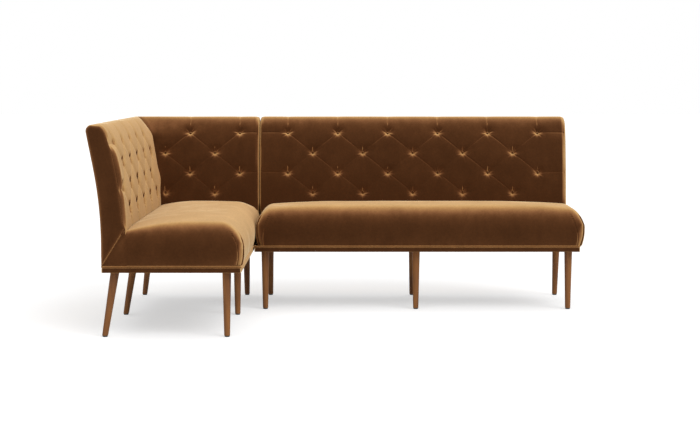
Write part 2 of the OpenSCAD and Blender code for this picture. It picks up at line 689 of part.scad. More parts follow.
// Four corners of a level, low and high sides being free (1) or tucked (0)
function level_ring(c, free, level, gap, z_gap) =
  let (in = [for (s = free) gap + (s == 1 ? level[1] : level[2])])
    [[c[0] + in[0], c[1] + in[1], level[0] + z_gap], [c[2] - in[2], c[1] + in[1], level[0] + z_gap],
     [c[2] - in[2], c[3] - in[3], level[0] + z_gap], [c[0] + in[0], c[3] - in[3], level[0] + z_gap]];
bench_free = [1, 0, 1, 1];
corner_free = [0, 0, 1, 1];

// A stack of four-cornered rings, closed at both ends
module stack(rings) {
  n = len(rings);
  sides = [for (i = [0:n - 2]) for (j = [0:3]) let (k = (j + 1) % 4) each
    [[4 * i + j, 4 * (i + 1) + j, 4 * (i + 1) + k], [4 * i + j, 4 * (i + 1) + k, 4 * i + k]]];
  low = [[0, 1, 2], [0, 2, 3]];
  t = 4 * (n - 1);
  high = [[t + 2, t + 1, t], [t + 3, t + 2, t]];
  polyhedron([for (r = rings) each r], concat(low, sides, high));
}
module seat_foam(c, free) stack([for (l = foam_levels) level_ring(c, free, l, fit_gap, 0)]);

// Lines of a seat's grid between two sides, closer together on the shoulders
shoulder_cells = 5;
tuck_cells = 3;
tuck_w = 200;
function side_steps(w, free) = let (n = free ? shoulder_cells : tuck_cells)
  [for (i = [0:n]) free ? w * (1 - cos(90 * i / n)) : w * i / n];
function lines(low, low_w, low_free, high, high_w, high_free, mid_n) =
  let (l = side_steps(low_w, low_free), h = side_steps(high_w, high_free),
       from = low + low_w, to = high - high_w)
  concat([for (x = l) low + x], [for (i = [1:mid_n - 1]) from + (to - from) * i / mid_n],
    [for (x = turned(h)) high - x]);

// Share of the crown's height left at a distance from a side
function free_share(x, w) = x >= w ? 1 : sqrt(max(0, 1 - pow(1 - x / w, 2)));
function tuck_share(x) = fade(x / tuck_w);
// A shoulder is narrower towards the back, and the crown falls a little towards a free side
squeeze_share = 0.5;
fall_share = crown_fall / (crown_z - full_z);
function side_share(x, w, free, tuck) = !free ? 1
  : free_share(x, w * (1 - squeeze_share * tuck)) * (1 - fall_share * fade(x / crown_fall_w));
seam_loss = (crown_z - seam_z) / (crown_z - full_z);

// Rounds the free corners in plan: two distances from the sides of a corner, as shares of its radius
function softened(x, y, r) = let (u = 1 - x / r, v = 1 - y / r)
  (u <= 0 || v <= 0) ? [x, y] : [r - r * u * sqrt(1 - v * v / 2), r - r * v * sqrt(1 - u * u / 2)];

// A seat's sides: [low a, high a, low d, high d], their shoulder widths, and which are free
function seat_sides(s, less) = [
  s[0][0] + (s[2][0] ? less : 0), s[0][1] - (s[2][1] ? less : 0),
  s[0][2] + (s[2][2] ? less : 0), s[0][3] - (s[2][3] ? less : 0)
];
function seat_plan(s, less, n) =
  let (e = seat_sides(s, less), w = s[1], f = s[2],
       aa = lines(e[0], w[0], f[0], e[1], w[1], f[1], n[0]),
       dd = lines(e[2], w[2], f[2], e[3], w[3], f[3], n[1]))
  [for (d = dd) [for (a = aa)
    let (low = f[0] && a - e[0] < e[1] - a, x = low ? a - e[0] : e[1] - a, y = e[3] - d,
         soft = f[1] || low, q = soft ? softened(x, y, seat_corner_r) : [x, y])
      [low ? e[0] + q[0] : e[1] - q[0], e[3] - q[1]]]];
function seat_height(s, p) =
  let (e = s[0], w = s[1], f = s[2],
       x = [p[0] - e[0], e[1] - p[0], p[1] - e[2], e[3] - p[1]],
       tuck = max([for (i = [0:3]) f[i] ? 0 : tuck_share(x[i])]))
  side_share(x[0], w[0], f[0], tuck) * side_share(x[1], w[1], f[1], tuck)
  * side_share(x[3], w[3], f[3], tuck) * (1 - seam_loss * tuck);

// The perimeter of a plan grid, once round
function rim(plan) = let (nd = len(plan) - 1, na = len(plan[0]) - 1) concat(
  [for (i = [0:na - 1]) plan[0][i]], [for (j = [0:nd - 1]) plan[j][na]],
  [for (i = [na:-1:1]) plan[nd][i]], [for (j = [nd:-1:1]) plan[j][0]]);
function rim_index(na, nd) = concat(
  [for (i = [0:na - 1]) i], [for (j = [0:nd - 1]) j * (na + 1) + na],
  [for (i = [na:-1:1]) nd * (na + 1) + i], [for (j = [nd:-1:1]) j * (na + 1)]);

// A crowned seat cover, open from below round its frame and foam
skirt_shares = [0.3, 1];
module seat_cover(s, c, free, n) {
  plan = seat_plan(s, 0, n);
  nd = len(plan) - 1;
  na = len(plan[0]) - 1;
  top = [for (line = plan) for (p = line)
    [p[0], p[1], full_z + (crown_z - full_z) * seat_height(s, p)]];
  skirts = [for (k = skirt_shares) for (p = rim(seat_plan(s, draw_in * k * k, n)))
    [p[0], p[1], full_z - (full_z - seat_low) * k]];
  cavity = concat(level_ring(c, free, [seat_low, 0, 0], 0, 0),
    [for (l = foam_levels) each level_ring(c, free, l, 0, fit_gap)]);
  m = 2 * (na + nd);
  edge = rim_index(na, nd);
  t0 = len(top);
  c0 = t0 + m * len(skirt_shares);
  function ring(level, i) = level == 0 ? edge[i % m] : t0 + (level - 1) * m + i % m;
  cells = [for (j = [0:nd - 1]) for (i = [0:na - 1])
    let (q = j * (na + 1) + i, flip = (i < na / 2) != (j < nd / 2))
      each flip ? [[q, q + na + 1, q + 1], [q + 1, q + na + 1, q + na + 2]]
                : [[q, q + na + 1, q + na + 2], [q, q + na + 2, q + 1]]];
  walls = [for (k = [0:len(skirt_shares) - 1]) for (i = [0:m - 1]) each
    [[ring(k, i), ring(k, i + 1), ring(k + 1, i + 1)], [ring(k, i), ring(k + 1, i + 1), ring(k + 1, i)]]];
  last = len(skirt_shares);
  starts = [0, na, na + nd, 2 * na + nd, m];
  hems = [for (side = [0:3])
    let (from = starts[side], to = starts[side + 1], mid = floor((from + to) / 2)) each concat(
    [for (i = [from:mid - 1]) [ring(last, i), ring(last, i + 1), c0 + side]],
    [[ring(last, mid), c0 + (side + 1) % 4, c0 + side]],
    [for (i = [mid:to - 1]) [ring(last, i), ring(last, i + 1), c0 + (side + 1) % 4]])];
  levels = len(foam_levels);
  inner = [for (k = [0:levels - 1]) for (j = [0:3])
    let (p = c0 + 4 * k + j, q = c0 + 4 * k + (j + 1) % 4) each [[p, q, q + 4], [p, q + 4, p + 4]]];
  roof = c0 + 4 * levels;
  polyhedron(concat(top, skirts, cavity),
    concat(cells, walls, hems, inner, [[roof, roof + 1, roof + 2], [roof, roof + 2, roof + 3]]),
    convexity = 12);
}
bench_seat = [
  [pressed_in, bench_w + end_bulge, tuck_d, frame_d + side_bulge],
  [front_shoulder, end_shoulder, tuck_w, front_shoulder],
  [true, true, false, true]
];
corner_seat = [
  [tuck_d, frame_d + side_bulge, tuck_d, corner_l + side_bulge],
  [tuck_w, front_shoulder, tuck_w, front_shoulder],
  [false, true, false, true]
];
bench_cells = [8, 2];
corner_cells = [2, 7];

// A tapered leg from its foot to its flat top, with the bores of its bolt and nail
module leg(at) {
  top = at[0];
  foot = at[1];
  wood_h = leg_h - glide_h;
  reach = norm(top - foot);
  tilt = atan2(reach, wood_h);
  turn = reach == 0 ? 0 : atan2(top[1] - foot[1], top[0] - foot[0]);
  length = norm([reach, wood_h]);
  slope = (leg_top_d - leg_foot_d) / 2 / length;
  over = leg_top_d * sin(tilt) + cut_over;
  side = leg_splay + leg_top_d;
  difference() {
    intersection() {
      translate([foot[0], foot[1], glide_h]) rotate([0, tilt, turn]) translate([0, 0, -over])
        cylinder(h = length + 2 * over,
          r1 = leg_foot_d / 2 - slope * over, r2 = leg_top_d / 2 + slope * over);
      block([foot[0] - side, foot[1] - side, glide_h], [foot[0] + side, foot[1] + side, leg_h]);
    }
    translate([top[0], top[1], leg_h - bolt_in_leg - hole_gap])
      cylinder(h = bolt_in_leg + cut_over, r = bolt_d / 2 + hole_gap);
    translate([foot[0], foot[1], glide_h - cut_over])
      cylinder(h = nail_l + hole_gap + cut_over, r = nail_r + hole_gap);
  }
}
module glide(at) translate([at[1][0], at[1][1], 0]) {
  rotate_extrude() {
    square([glide_d / 2 - glide_edge_r, glide_h]);
    translate([0, glide_edge_r]) square([glide_d / 2, glide_h - glide_edge_r]);
    translate([glide_d / 2 - glide_edge_r, glide_edge_r]) circle(glide_edge_r);
  }
  cylinder(h = glide_h + nail_l, r = nail_r);
}
module hanger_bolt(at) translate([at[0][0], at[0][1], leg_h - bolt_in_leg])
  cylinder(h = bolt_top - leg_h + bolt_in_leg, r = bolt_d / 2);
module leg_insert(at) translate([at[0][0], at[0][1], board_top]) difference() {
  mirror([0, 0, 1]) {
    cylinder(h = insert_l, r = insert_r);
    cylinder(h = insert_flange_t, r = insert_flange_r);
  }
  translate([0, 0, -insert_l - cut_over]) cylinder(h = insert_l + 2 * cut_over, r = bolt_d / 2 + hole_gap);
}

module bench_base_boards() color(frame_wood) at_bench() difference() {
  bench_boards();
  insert_holes(bench_legs);
  for (p = bench_screws) screw_hole(p);
  plate_screws(hole_gap);
}
module bench_base_cover() color(velvet) at_bench() difference() {
  base_cover(bench_w, frame_d);
  bolt_holes(bench_legs);
  plate_screws(hole_gap);
  head_holes(bench_screws);
}
module bench_welt() color(velvet_pale) at_bench() welt(bench_w, frame_d);
module bench_dust_cover() color(cloth_black) at_bench() dust_cover(bench_w, frame_d);
module bench_seat_rails() color(frame_wood) at_bench() difference() {
  seat_rails(bench_cavity, false);
  for (p = bench_screws) screw_hole(p);
}
module bench_seat_webs() color(web_brown) at_bench() seat_webs(bench_cavity);
module bench_seat_foam() color(foam) at_bench() seat_foam(bench_cavity, bench_free);
module bench_seat_cover() color(velvet) at_bench()
  seat_cover(bench_seat, bench_cavity, bench_free, bench_cells);
module bench_back_posts() color(frame_wood) at_bench() back_posts(bench_posts);
module bench_back_rails() color(frame_wood) at_bench()
  back_rails(bench_posts, end_post_a, bench_w - end_post_a);
module bench_back_webs() color(web_brown) at_bench()
  back_webs(bench_columns, end_post_a, bench_w - end_post_a);
module bench_back_foam() color(foam) at_bench() difference() {
  run(end_post_a, bench_w - end_post_a) back_slab();
  twine_holes(bench_columns, all_rows, twine_hole_r);
}
module bench_back_pad() color(velvet) at_bench() pad(bench_columns, false, bench_w - end_post_a);
module bench_back_studs() color(velvet_pale) at_bench() studs(bench_columns);
module bench_outside_back() color(velvet) at_bench() run(end_post_a, bench_w - end_post_a) outside_band();
bench_panels = [back_in, bench_w - back_in - panel_t];
module bench_end_panels() color(velvet) at_bench() for (a = bench_panels) end_panel(a);
module bench_seat_gussets() color(velvet) at_bench() for (a = bench_panels) gusset(a);

module corner_base_boards() color(frame_wood) at_corner() difference() {
  corner_boards();
  insert_holes(corner_legs);
  for (p = corner_screws) screw_hole(p);
  turned_over() for (p = side_screws) screw_hole(p);
  translate([frame_d + unit_gap, 0, 0]) plate_screws(hole_gap);
}
module corner_base_cover() color(velvet) at_corner() difference() {
  base_cover(frame_d, corner_l);
  bolt_holes(corner_legs);
  translate([frame_d + unit_gap, 0, 0]) plate_screws(hole_gap);
  head_holes(concat(corner_screws, [for (p = side_screws) [p[1], p[0]]]));
}
module corner_welt() color(velvet_pale) at_corner() welt(frame_d, corner_l);
module corner_dust_cover() color(cloth_black) at_corner() dust_cover(frame_d, corner_l);
module corner_seat_rails() color(frame_wood) at_corner() difference() {
  seat_rails(corner_cavity, true);
  for (p = corner_screws) screw_hole(p);
}
module corner_seat_webs() color(web_brown) at_corner() seat_webs(corner_cavity);
module corner_seat_foam() color(foam) at_corner() seat_foam(corner_cavity, corner_free);
module corner_seat_cover() color(velvet) at_corner()
  seat_cover(corner_seat, corner_cavity, corner_free, corner_cells);
module corner_back_posts() color(frame_wood) {
  at_corner() back_posts(rear_posts);
  at_side_wing() back_posts(side_posts);
}
side_end = corner_l - corner_end_a;
rear_end = frame_d - corner_end_a;
module side_wing_rails() color(frame_wood) at_side_wing() mitred() back_rails(side_posts, -total_d, side_end);
module rear_wing_rails() color(frame_wood) at_corner() mitred() back_rails(rear_posts, -total_d, rear_end);
module side_wing_webs() color(web_brown) at_side_wing() back_webs(side_columns, corner_post_a, side_end);
module rear_wing_webs() color(web_brown) at_corner() back_webs(rear_columns, corner_post_a, rear_end);
module side_wing_foam() color(foam) at_side_wing() difference() {
  mitred() run(-back_reach, side_end) back_slab();
  twine_holes(side_columns, all_rows, twine_hole_r);
}
module rear_wing_foam() color(foam) at_corner() difference() {
  mitred() run(-back_reach, rear_end) back_slab();
  twine_holes(rear_columns, all_rows, twine_hole_r);
}
module side_wing_pad() color(velvet) at_side_wing() pad(side_columns, true, side_end);
module rear_wing_pad() color(velvet) at_corner() pad(rear_columns, true, rear_end);
module side_wing_studs() color(velvet_pale) at_side_wing() studs(side_columns);
module rear_wing_studs() color(velvet_pale) at_corner() studs(rear_columns);
module side_wing_outside() color(velvet) at_side_wing() mitred() run(-total_d, side_end) outside_band();
module rear_wing_outside() color(velvet) at_corner() mitred() run(-total_d, rear_end) outside_band();
module corner_end_panels() color(velvet) {
  at_corner() end_panel(frame_d - corner_back_in - panel_t);
  at_side_wing() end_panel(corner_l - corner_back_in - panel_t);
}
module corner_seat_gussets() color(velvet) {
  at_corner() gusset(frame_d - corner_back_in - panel_t);
  at_side_wing() gusset(corner_l - corner_back_in - panel_t);
}

module each_leg() {
  at_bench() for (l = bench_legs) let ($at = l) children();
  at_corner() for (l = corner_legs) let ($at = l) children();
}
module glides() color(glide_dark) each_leg() glide($at);
module hanger_bolts() color(steel) each_leg() hanger_bolt($at);
module leg_inserts() color(steel) each_leg() leg_insert($at);
module frame_screws() color(steel) {
  at_bench() for (p = bench_screws) screw(p);
  at_corner() for (p = corner_screws) screw(p);
  at_side_wing() for (p = side_screws) screw(p);
}
module corner_blocks() color(frame_wood) {
  at_bench() blocks_in(bench_cavity);
  at_corner() blocks_in(corner_cavity);
}
module joining_plates() color(steel) at_bench() difference() {
  for (d = plate_d)
    block([seam_a - plate_l / 2, d - plate_w / 2, leg_h - plate_t],
      [seam_a + plate_l / 2, d + plate_w / 2, leg_h]);
  translate([0, 0, -cut_over]) plate_screws(hole_gap);
}
module joining_screws() color(steel) at_bench() plate_screws(0);

bench_base_boards();
bench_base_cover();
bench_welt();
bench_dust_cover();
bench_seat_rails();
bench_seat_webs();
bench_seat_foam();
bench_seat_cover();
bench_back_posts();
bench_back_rails();
bench_back_webs();
bench_back_foam();
bench_back_pad();
bench_back_studs();
bench_outside_back();
bench_end_panels();
bench_seat_gussets();
corner_base_boards();
corner_base_cover();
corner_welt();
corner_dust_cover();
corner_seat_rails();
corner_seat_webs();
corner_seat_foam();
corner_seat_cover();
corner_back_posts();
side_wing_rails();
rear_wing_rails();
side_wing_webs();
rear_wing_webs();
side_wing_foam();
rear_wing_foam();
side_wing_pad();
rear_wing_pad();
side_wing_studs();
rear_wing_studs();
side_wing_outside();
rear_wing_outside();
corner_end_panels();
corner_seat_gussets();
for (i = [1:6]) {
  color(leg_wood) at_bench() leg(bench_legs[i - 1]);
  color(leg_wood) at_corner() leg(corner_legs[i - 1]);
}
glides();
hanger_bolts();
leg_inserts();
frame_screws();
corner_blocks();
joining_plates();
joining_screws();
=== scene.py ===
"""Upholstered corner banquette: velvet seats and tufted backs, wrapped bases and wooden legs."""

import math

import bmesh
import bpy
import numpy as np
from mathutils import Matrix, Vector

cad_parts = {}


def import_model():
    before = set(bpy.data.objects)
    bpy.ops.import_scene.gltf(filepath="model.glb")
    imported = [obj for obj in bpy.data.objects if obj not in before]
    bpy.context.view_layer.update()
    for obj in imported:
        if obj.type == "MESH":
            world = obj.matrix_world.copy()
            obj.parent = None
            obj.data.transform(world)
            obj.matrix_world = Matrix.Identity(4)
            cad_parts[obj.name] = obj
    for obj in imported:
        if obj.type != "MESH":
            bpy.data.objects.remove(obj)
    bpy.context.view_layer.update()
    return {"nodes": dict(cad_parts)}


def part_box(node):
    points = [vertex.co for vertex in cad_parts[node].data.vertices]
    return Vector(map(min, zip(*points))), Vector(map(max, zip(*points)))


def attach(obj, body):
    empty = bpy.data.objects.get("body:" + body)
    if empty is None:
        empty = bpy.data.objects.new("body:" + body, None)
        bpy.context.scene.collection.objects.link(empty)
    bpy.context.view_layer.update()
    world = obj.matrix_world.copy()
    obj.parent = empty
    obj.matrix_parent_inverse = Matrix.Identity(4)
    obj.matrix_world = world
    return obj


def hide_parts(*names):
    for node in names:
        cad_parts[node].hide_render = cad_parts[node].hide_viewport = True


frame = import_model()
scene = bpy.context.scene


def box_mm(name):
    """Lowest and highest corners of a CAD node, in millimetres."""
    low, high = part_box(name)
    return np.array(low) * 1000.0, np.array(high) * 1000.0


# Places and overall sizes, from the frame, in millimetres
BENCH_LOW, BENCH_HIGH = box_mm("bench_base_cover")
CORNER_LOW, CORNER_HIGH = box_mm("corner_base_cover")
LEG_H, BASE_TOP = BENCH_LOW[2], BENCH_HIGH[2]
BENCH_X, BENCH_W = BENCH_LOW[0], BENCH_HIGH[0] - BENCH_LOW[0]
CORNER_X, REAR_Y = CORNER_LOW[0], CORNER_HIGH[1]
FRAME_D, CORNER_L = CORNER_HIGH[0] - CORNER_X, REAR_Y - CORNER_LOW[1]
SEAT_LOW = box_mm("bench_seat_cover")[0][2]
CROWN_Z = box_mm("bench_seat_cover")[1][2]
TOP_Z = box_mm("bench_back_pad")[1][2]
BACK_T = REAR_Y - box_mm("bench_seat_gussets")[0][1]
SEAM_Z, FULL_Z = BASE_TOP + 164.0, BASE_TOP + 74.0

# Section of the backs
BEND_Z, BEND_R, RAKE = BASE_TOP + 100.0, 1720.0, math.radians(10.75)
ROLL_D, ROLL_H, EDGE_R = 48.0, 140.0, 24.0
ROLL_Z, EDGE_Z = TOP_Z - ROLL_H, TOP_Z - EDGE_R
FLAP_Z = EDGE_Z - EDGE_R / 3
PAD_LOW_Z = SEAM_Z - 24.0
PANEL_T, PANEL_SAG, PANEL_EDGE_W = 10.0, 3.0, 12.0
FREE_PUFF, PRESSED_PUFF = (7.0, 24.0), (4.3, 9.0)
BENCH_BACK_IN, PRESSED_BACK_IN, CORNER_BACK_IN = 8.0, 3.0, 0.0
ROUND_W, MITRE_PULL = 16.0, 26.0

# Tufts
TUFT_ROWS = 4
TUFT_LOW_Z, TUFT_HIGH_Z = SEAM_Z + 63.5, TOP_Z - 76.0
ROW_RISE = (TUFT_HIGH_Z - TUFT_LOW_Z) / (TUFT_ROWS - 1)
OFF_MIDDLE = 4.0
FOLD_REACH, RIM_REACH = 45.0, 28.0
PIT_DEPTH, PIT_W, PIT_LOW, PIT_HIGH = 19.0, 17.0, 11.0, 16.0

# Seats
CORNER_R, DRAW_IN, SHOULDER, END_SHOULDER, TUCK_W = 42.0, 10.0, 110.0, 74.0, 255.0
BENCH_FRONT, CORNER_FRONT = 95.0, 75.0
SIDE_BULGE, END_BULGE, PRESSED_IN, SQUEEZE = 10.0, 22.0, 6.0, 0.5
TUCK_D = BACK_T + 0.3
CROWN_H = CROWN_Z - FULL_Z
SEAM_LOSS = (CROWN_Z - SEAM_Z) / CROWN_H
FALL, FRONT_FALL, END_FALL = (8.0, 300.0), (14.0, 300.0), (19.0, 430.0)
TOE_D, KNEE_D = 2.0, 0.78 * BACK_T
KNEE_Z = SEAM_Z - 0.16 * (SEAM_Z - SEAT_LOW)


def lean(z):
    """How far the backs' outer face leans out at a height: upright, then an arc, then a straight slope."""
    z = np.asarray(z, float)
    end_z = BEND_Z + BEND_R * math.sin(RAKE)
    end_out = BEND_R * (1 - math.cos(RAKE))
    arc = BEND_R - np.sqrt(np.maximum(BEND_R**2 - np.clip(z - BEND_Z, 0, end_z - BEND_Z) ** 2, 0))
    return np.where(z <= BEND_Z, 0.0, np.where(z <= end_z, arc, end_out + (z - end_z) * math.tan(RAKE)))


def inner_d(z):
    """Depth of the backs' inner face, with the roll of its top."""
    share = np.clip((np.asarray(z, float) - ROLL_Z) / ROLL_H, 0, 1)
    return BACK_T - lean(z) - ROLL_D * (1 - np.sqrt(1 - share**2))


# Frames of the units: a along the back from its left or rear end, d in depth from the rear edge
def at_bench(p, left_x=BENCH_X):
    return np.stack([left_x + p[..., 0], REAR_Y - p[..., 1], p[..., 2]], -1)


def at_corner(p):
    return at_bench(p, CORNER_X)


def at_side(p):
    return np.stack([CORNER_X + p[..., 1], REAR_Y - p[..., 0], p[..., 2]], -1)


# Mesh helpers
def new_piece(name, points, faces, material, slot, replaces=(), sharp=None):
    """A smooth mesh object from points in millimetres, which rides on the part's only body."""
    mesh = bpy.data.meshes.new(name)
    mesh.from_pydata((np.asarray(points, float).reshape(-1, 3) * 0.001).tolist(), [], faces)
    mesh.validate()
    bm = bmesh.new()
    bm.from_mesh(mesh)
    bmesh.ops.recalc_face_normals(bm, faces=bm.faces)
    bm.to_mesh(mesh)
    bm.free()
    mesh.polygons.foreach_set("use_smooth", [True] * len(mesh.polygons))
    mesh.materials.append(material)
    obj = bpy.data.objects.new(name, mesh)
    scene.collection.objects.link(obj)
    if sharp is not None:
        mesh.set_sharp_from_angle(angle=math.radians(sharp))
    if replaces:
        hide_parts(*replaces)
    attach(obj, "root")
    return obj


def grid_faces(rows, cols):
    """Faces of a grid whose points are counted row by row."""
    return [
        [i * cols + j, i * cols + j + 1, (i + 1) * cols + j + 1, (i + 1) * cols + j]
        for i in range(rows - 1)
        for j in range(cols - 1)
    ]


def closed_sheet(front, back_first, back_last, back_low, back_high):
    """A closed form of a front grid [rows, cols, 3] and the points behind its rim, with long faces between
    the back points of the first and last columns."""
    rows, cols = front.shape[:2]
    n = rows * cols
    low = list(range(n, n + cols))
    high = list(range(n + cols, n + 2 * cols))
    pairs = range(n + 2 * cols, n + 2 * cols + 2 * (rows - 2), 2)
    first = [low[0], *pairs, high[0]]
    last = [low[-1], *(k + 1 for k in pairs), high[-1]]
    faces = grid_faces(rows, cols)
    for j in range(cols - 1):
        faces.append([j + 1, j, low[j], low[j + 1]])
        t = (rows - 1) * cols + j
        faces.append([t, t + 1, high[j + 1], high[j]])
    for i in range(rows - 1):
        faces.append([i * cols, (i + 1) * cols, first[i + 1], first[i]])
        faces.append([(i + 1) * cols + cols - 1, i * cols + cols - 1, last[i], last[i + 1]])
        if i == 0:
            faces.append([*low[::-1], first[1], last[1]])
        elif i == rows - 2:
            faces.append([first[i], *high, last[i]])
        else:
            faces.append([last[i], first[i], first[i + 1], last[i + 1]])
    sides = np.stack([back_first[1:-1], back_last[1:-1]], 1).reshape(-1, 3)
    return np.concatenate([front.reshape(-1, 3), back_low, back_high, sides]), faces


def tube(path, radius, sides=10):
    """Points and faces of a cord that follows a path."""
    path = np.asarray(path, float)
    n = len(path)
    tangent = np.gradient(path, axis=0)
    tangent /= np.linalg.norm(tangent, axis=1)[:, None]
    off_path = [0.31, 0.22, 0.92]
    side = np.cross(tangent[0], off_path)
    turn = 2 * math.pi * np.arange(sides) / sides
    rings = []
    for i in range(n):
        side = side - tangent[i] * side.dot(tangent[i])
        side /= np.linalg.norm(side)
        up = np.cross(tangent[i], side)
        rings.append(path[i] + radius * (np.cos(turn)[:, None] * side + np.sin(turn)[:, None] * up))
    faces = []
    for i in range(n - 1):
        for j in range(sides):
            q = (j + 1) % sides
            faces.append([i * sides + j, i * sides + q, (i + 1) * sides + q, (i + 1) * sides + j])
    faces.append(list(range(sides))[::-1])
    faces.append([(n - 1) * sides + j for j in range(sides)])
    return np.concatenate(rings), faces


def joined(parts):
    """Points and faces of several forms as one."""
    points, faces, k = [], [], 0
    for p, f in parts:
        p = np.asarray(p, float).reshape(-1, 3)
        points.append(p)
        faces += [[k + i for i in face] for face in f]
        k += len(p)
    return np.concatenate(points), faces


def smoothstep(x):
    """From 0 to 1 with a soft start and end."""
    x = np.clip(x, 0, 1)
    return x * x * (3 - 2 * x)


def wave(x, y, z, seed, scale, octaves=3):
    """Smooth repeatable unevenness in about -1 to 1."""
    rng = np.random.default_rng(seed)
    total = np.zeros(np.broadcast(x, y, z).shape)
    size, weight, sum_w = scale, 1.0, 0.0
    for _ in range(octaves):
        for _ in range(4):
            k = rng.normal(size=3)
            k *= 2 * math.pi / size / np.linalg.norm(k)
            phase = rng.uniform(0, 2 * math.pi)
            total = total + weight * 0.5 * np.sin(k[0] * x + k[1] * y + k[2] * z + phase)
        sum_w += weight
        size /= 2.0
        weight *= 0.5
    return total / sum_w


# Materials
def set_inputs(node, values):
    for key, value in values.items():
        node.inputs[key].default_value = value


def empty_tree(owner):
    """The node tree of a material or world, emptied."""
    owner.use_nodes = True
    owner.node_tree.nodes.clear()
    return owner.node_tree


def material(name):
    """A new material with its node tree, its shader and the object's coordinates."""
    m = bpy.data.materials.new(name)
    tree = empty_tree(m)
    out = tree.nodes.new("ShaderNodeOutputMaterial")
    shader = tree.nodes.new("ShaderNodeBsdfPrincipled")
    tree.links.new(shader.outputs[0], out.inputs[0])
    coords = tree.nodes.new("ShaderNodeTexCoord").outputs["Object"]
    return m, tree, shader, coords


def noise(tree, coords, scale, detail, rough, stretch=None):
    """Fine noise, longer along the axes whose stretch is small."""
    source = coords
    if stretch is not None:
        m = tree.nodes.new("ShaderNodeMapping")
        m.inputs["Scale"].default_value = stretch
        tree.links.new(coords, m.inputs["Vector"])
        source = m.outputs[0]
    n = tree.nodes.new("ShaderNodeTexNoise")
    set_inputs(n, {"Scale": scale, "Detail": detail, "Roughness": rough})
    tree.links.new(source, n.inputs["Vector"])
    return n.outputs[0]


def spread(tree, value, a, b, low=0.0, high=1.0):
    """A value's range from a to b, spread over low to high."""
    m = tree.nodes.new("ShaderNodeMapRange")
    set_inputs(m, {"From Min": a, "From Max": b, "To Min": low, "To Max": high})
    tree.links.new(value, m.inputs["Value"])
    return m.outputs[0]


def maths(tree, operation, a, b):
    """Result of a maths node on two numbers or sockets."""
    m = tree.nodes.new("ShaderNodeMath")
    m.operation = operation
    for i, v in enumerate((a, b)):
        if isinstance(v, (int, float)):
            m.inputs[i].default_value = v
        else:
            tree.links.new(v, m.inputs[i])
    return m.outputs[0]


def mixed(tree, factor, a, b, blend="MIX"):
    """A mix of two colours, each a colour or a socket. Sockets 6, 7 and 2 are the node's colours."""
    m = tree.nodes.new("ShaderNodeMix")
    m.data_type = "RGBA"
    m.blend_type = blend
    for socket, v in ((0, factor), (6, a), (7, b)):
        if isinstance(v, (int, float)):
            m.inputs[socket].default_value = v
        elif isinstance(v, tuple):
            m.inputs[socket].default_value = (*v, 1.0)
        else:
            tree.links.new(v, m.inputs[socket])
    return m.outputs[2]


def bumped(tree, shader, height, strength, distance):
    b = tree.nodes.new("ShaderNodeBump")
    set_inputs(b, {"Strength": strength, "Distance": distance})
    tree.links.new(height, b.inputs["Height"])
    tree.links.new(b.outputs[0], shader.inputs["Normal"])


def srgb(code):
    """Linear colour of a hexadecimal one."""
    out = []
    for i in (0, 2, 4):
        c = int(code[i : i + 2], 16) / 255
        out.append(c / 12.92 if c <= 0.04045 else ((c + 0.055) / 1.055) ** 2.4)
    return tuple(out)


def velvet(name, stops):
    """Pile whose base colour is dark face on and paler the more it is seen from the side, which is painted
    sheen, with a faint mottle where the pile lies differently. Stops are (share of the turn away from the
    eye, colour)."""
    m, tree, shader, coords = material(name)
    patches = noise(tree, coords, 7.0, 4.0, 0.6)
    strokes = noise(tree, coords, 26.0, 3.0, 0.6, stretch=(1.0, 1.0, 0.35))
    flecks = noise(tree, coords, 120.0, 3.0, 0.6)
    pile = noise(tree, coords, 900.0, 2.0, 0.7)
    threads = noise(tree, coords, 260.0, 3.0, 0.6, stretch=(1.0, 1.0, 0.5))
    facing = tree.nodes.new("ShaderNodeLayerWeight")
    facing.inputs["Blend"].default_value = 0.5

    def swing(source, weight):
        return maths(tree, "MULTIPLY", maths(tree, "SUBTRACT", source, 0.5), weight)

    mottle = maths(tree, "ADD", swing(patches, 0.07), swing(strokes, 0.09))
    mottle = maths(tree, "ADD", mottle, swing(pile, 0.06))
    # Painted sheen: the base colour runs from dark to pale as the surface turns away from the eye
    ramp = tree.nodes.new("ShaderNodeValToRGB")
    tree.links.new(maths(tree, "ADD", facing.outputs["Facing"], mottle), ramp.inputs[0])
    colours = ramp.color_ramp.elements
    while len(colours) < len(stops):
        colours.new(0.5)
    for element, (share, code) in zip(colours, stops):
        element.position = share
        element.color = (*srgb(code), 1.0)
    broad = spread(tree, patches, 0.3, 0.7, 0.95, 1.05)
    fine = spread(tree, flecks, 0.3, 0.7, 0.9, 1.1)
    depth = maths(tree, "MULTIPLY", broad, fine)
    tone = tree.nodes.new("ShaderNodeCombineColor")
    for socket in tone.inputs:
        tree.links.new(depth, socket)
    colour = mixed(tree, 1.0, ramp.outputs[0], tone.outputs[0], "MULTIPLY")
    tree.links.new(colour, shader.inputs["Base Color"])
    set_inputs(shader, {"Roughness": 0.9, "Specular IOR Level": 0.06, "Sheen Weight": 0.08,
                        "Sheen Roughness": 0.35, "Sheen Tint": (*srgb(stops[-1][1]), 1.0)})
    height = maths(tree, "ADD", maths(tree, "MULTIPLY", pile, 0.6), maths(tree, "MULTIPLY", threads, 0.8))
    bumped(tree, shader, height, 0.3, 0.0005)
    return m


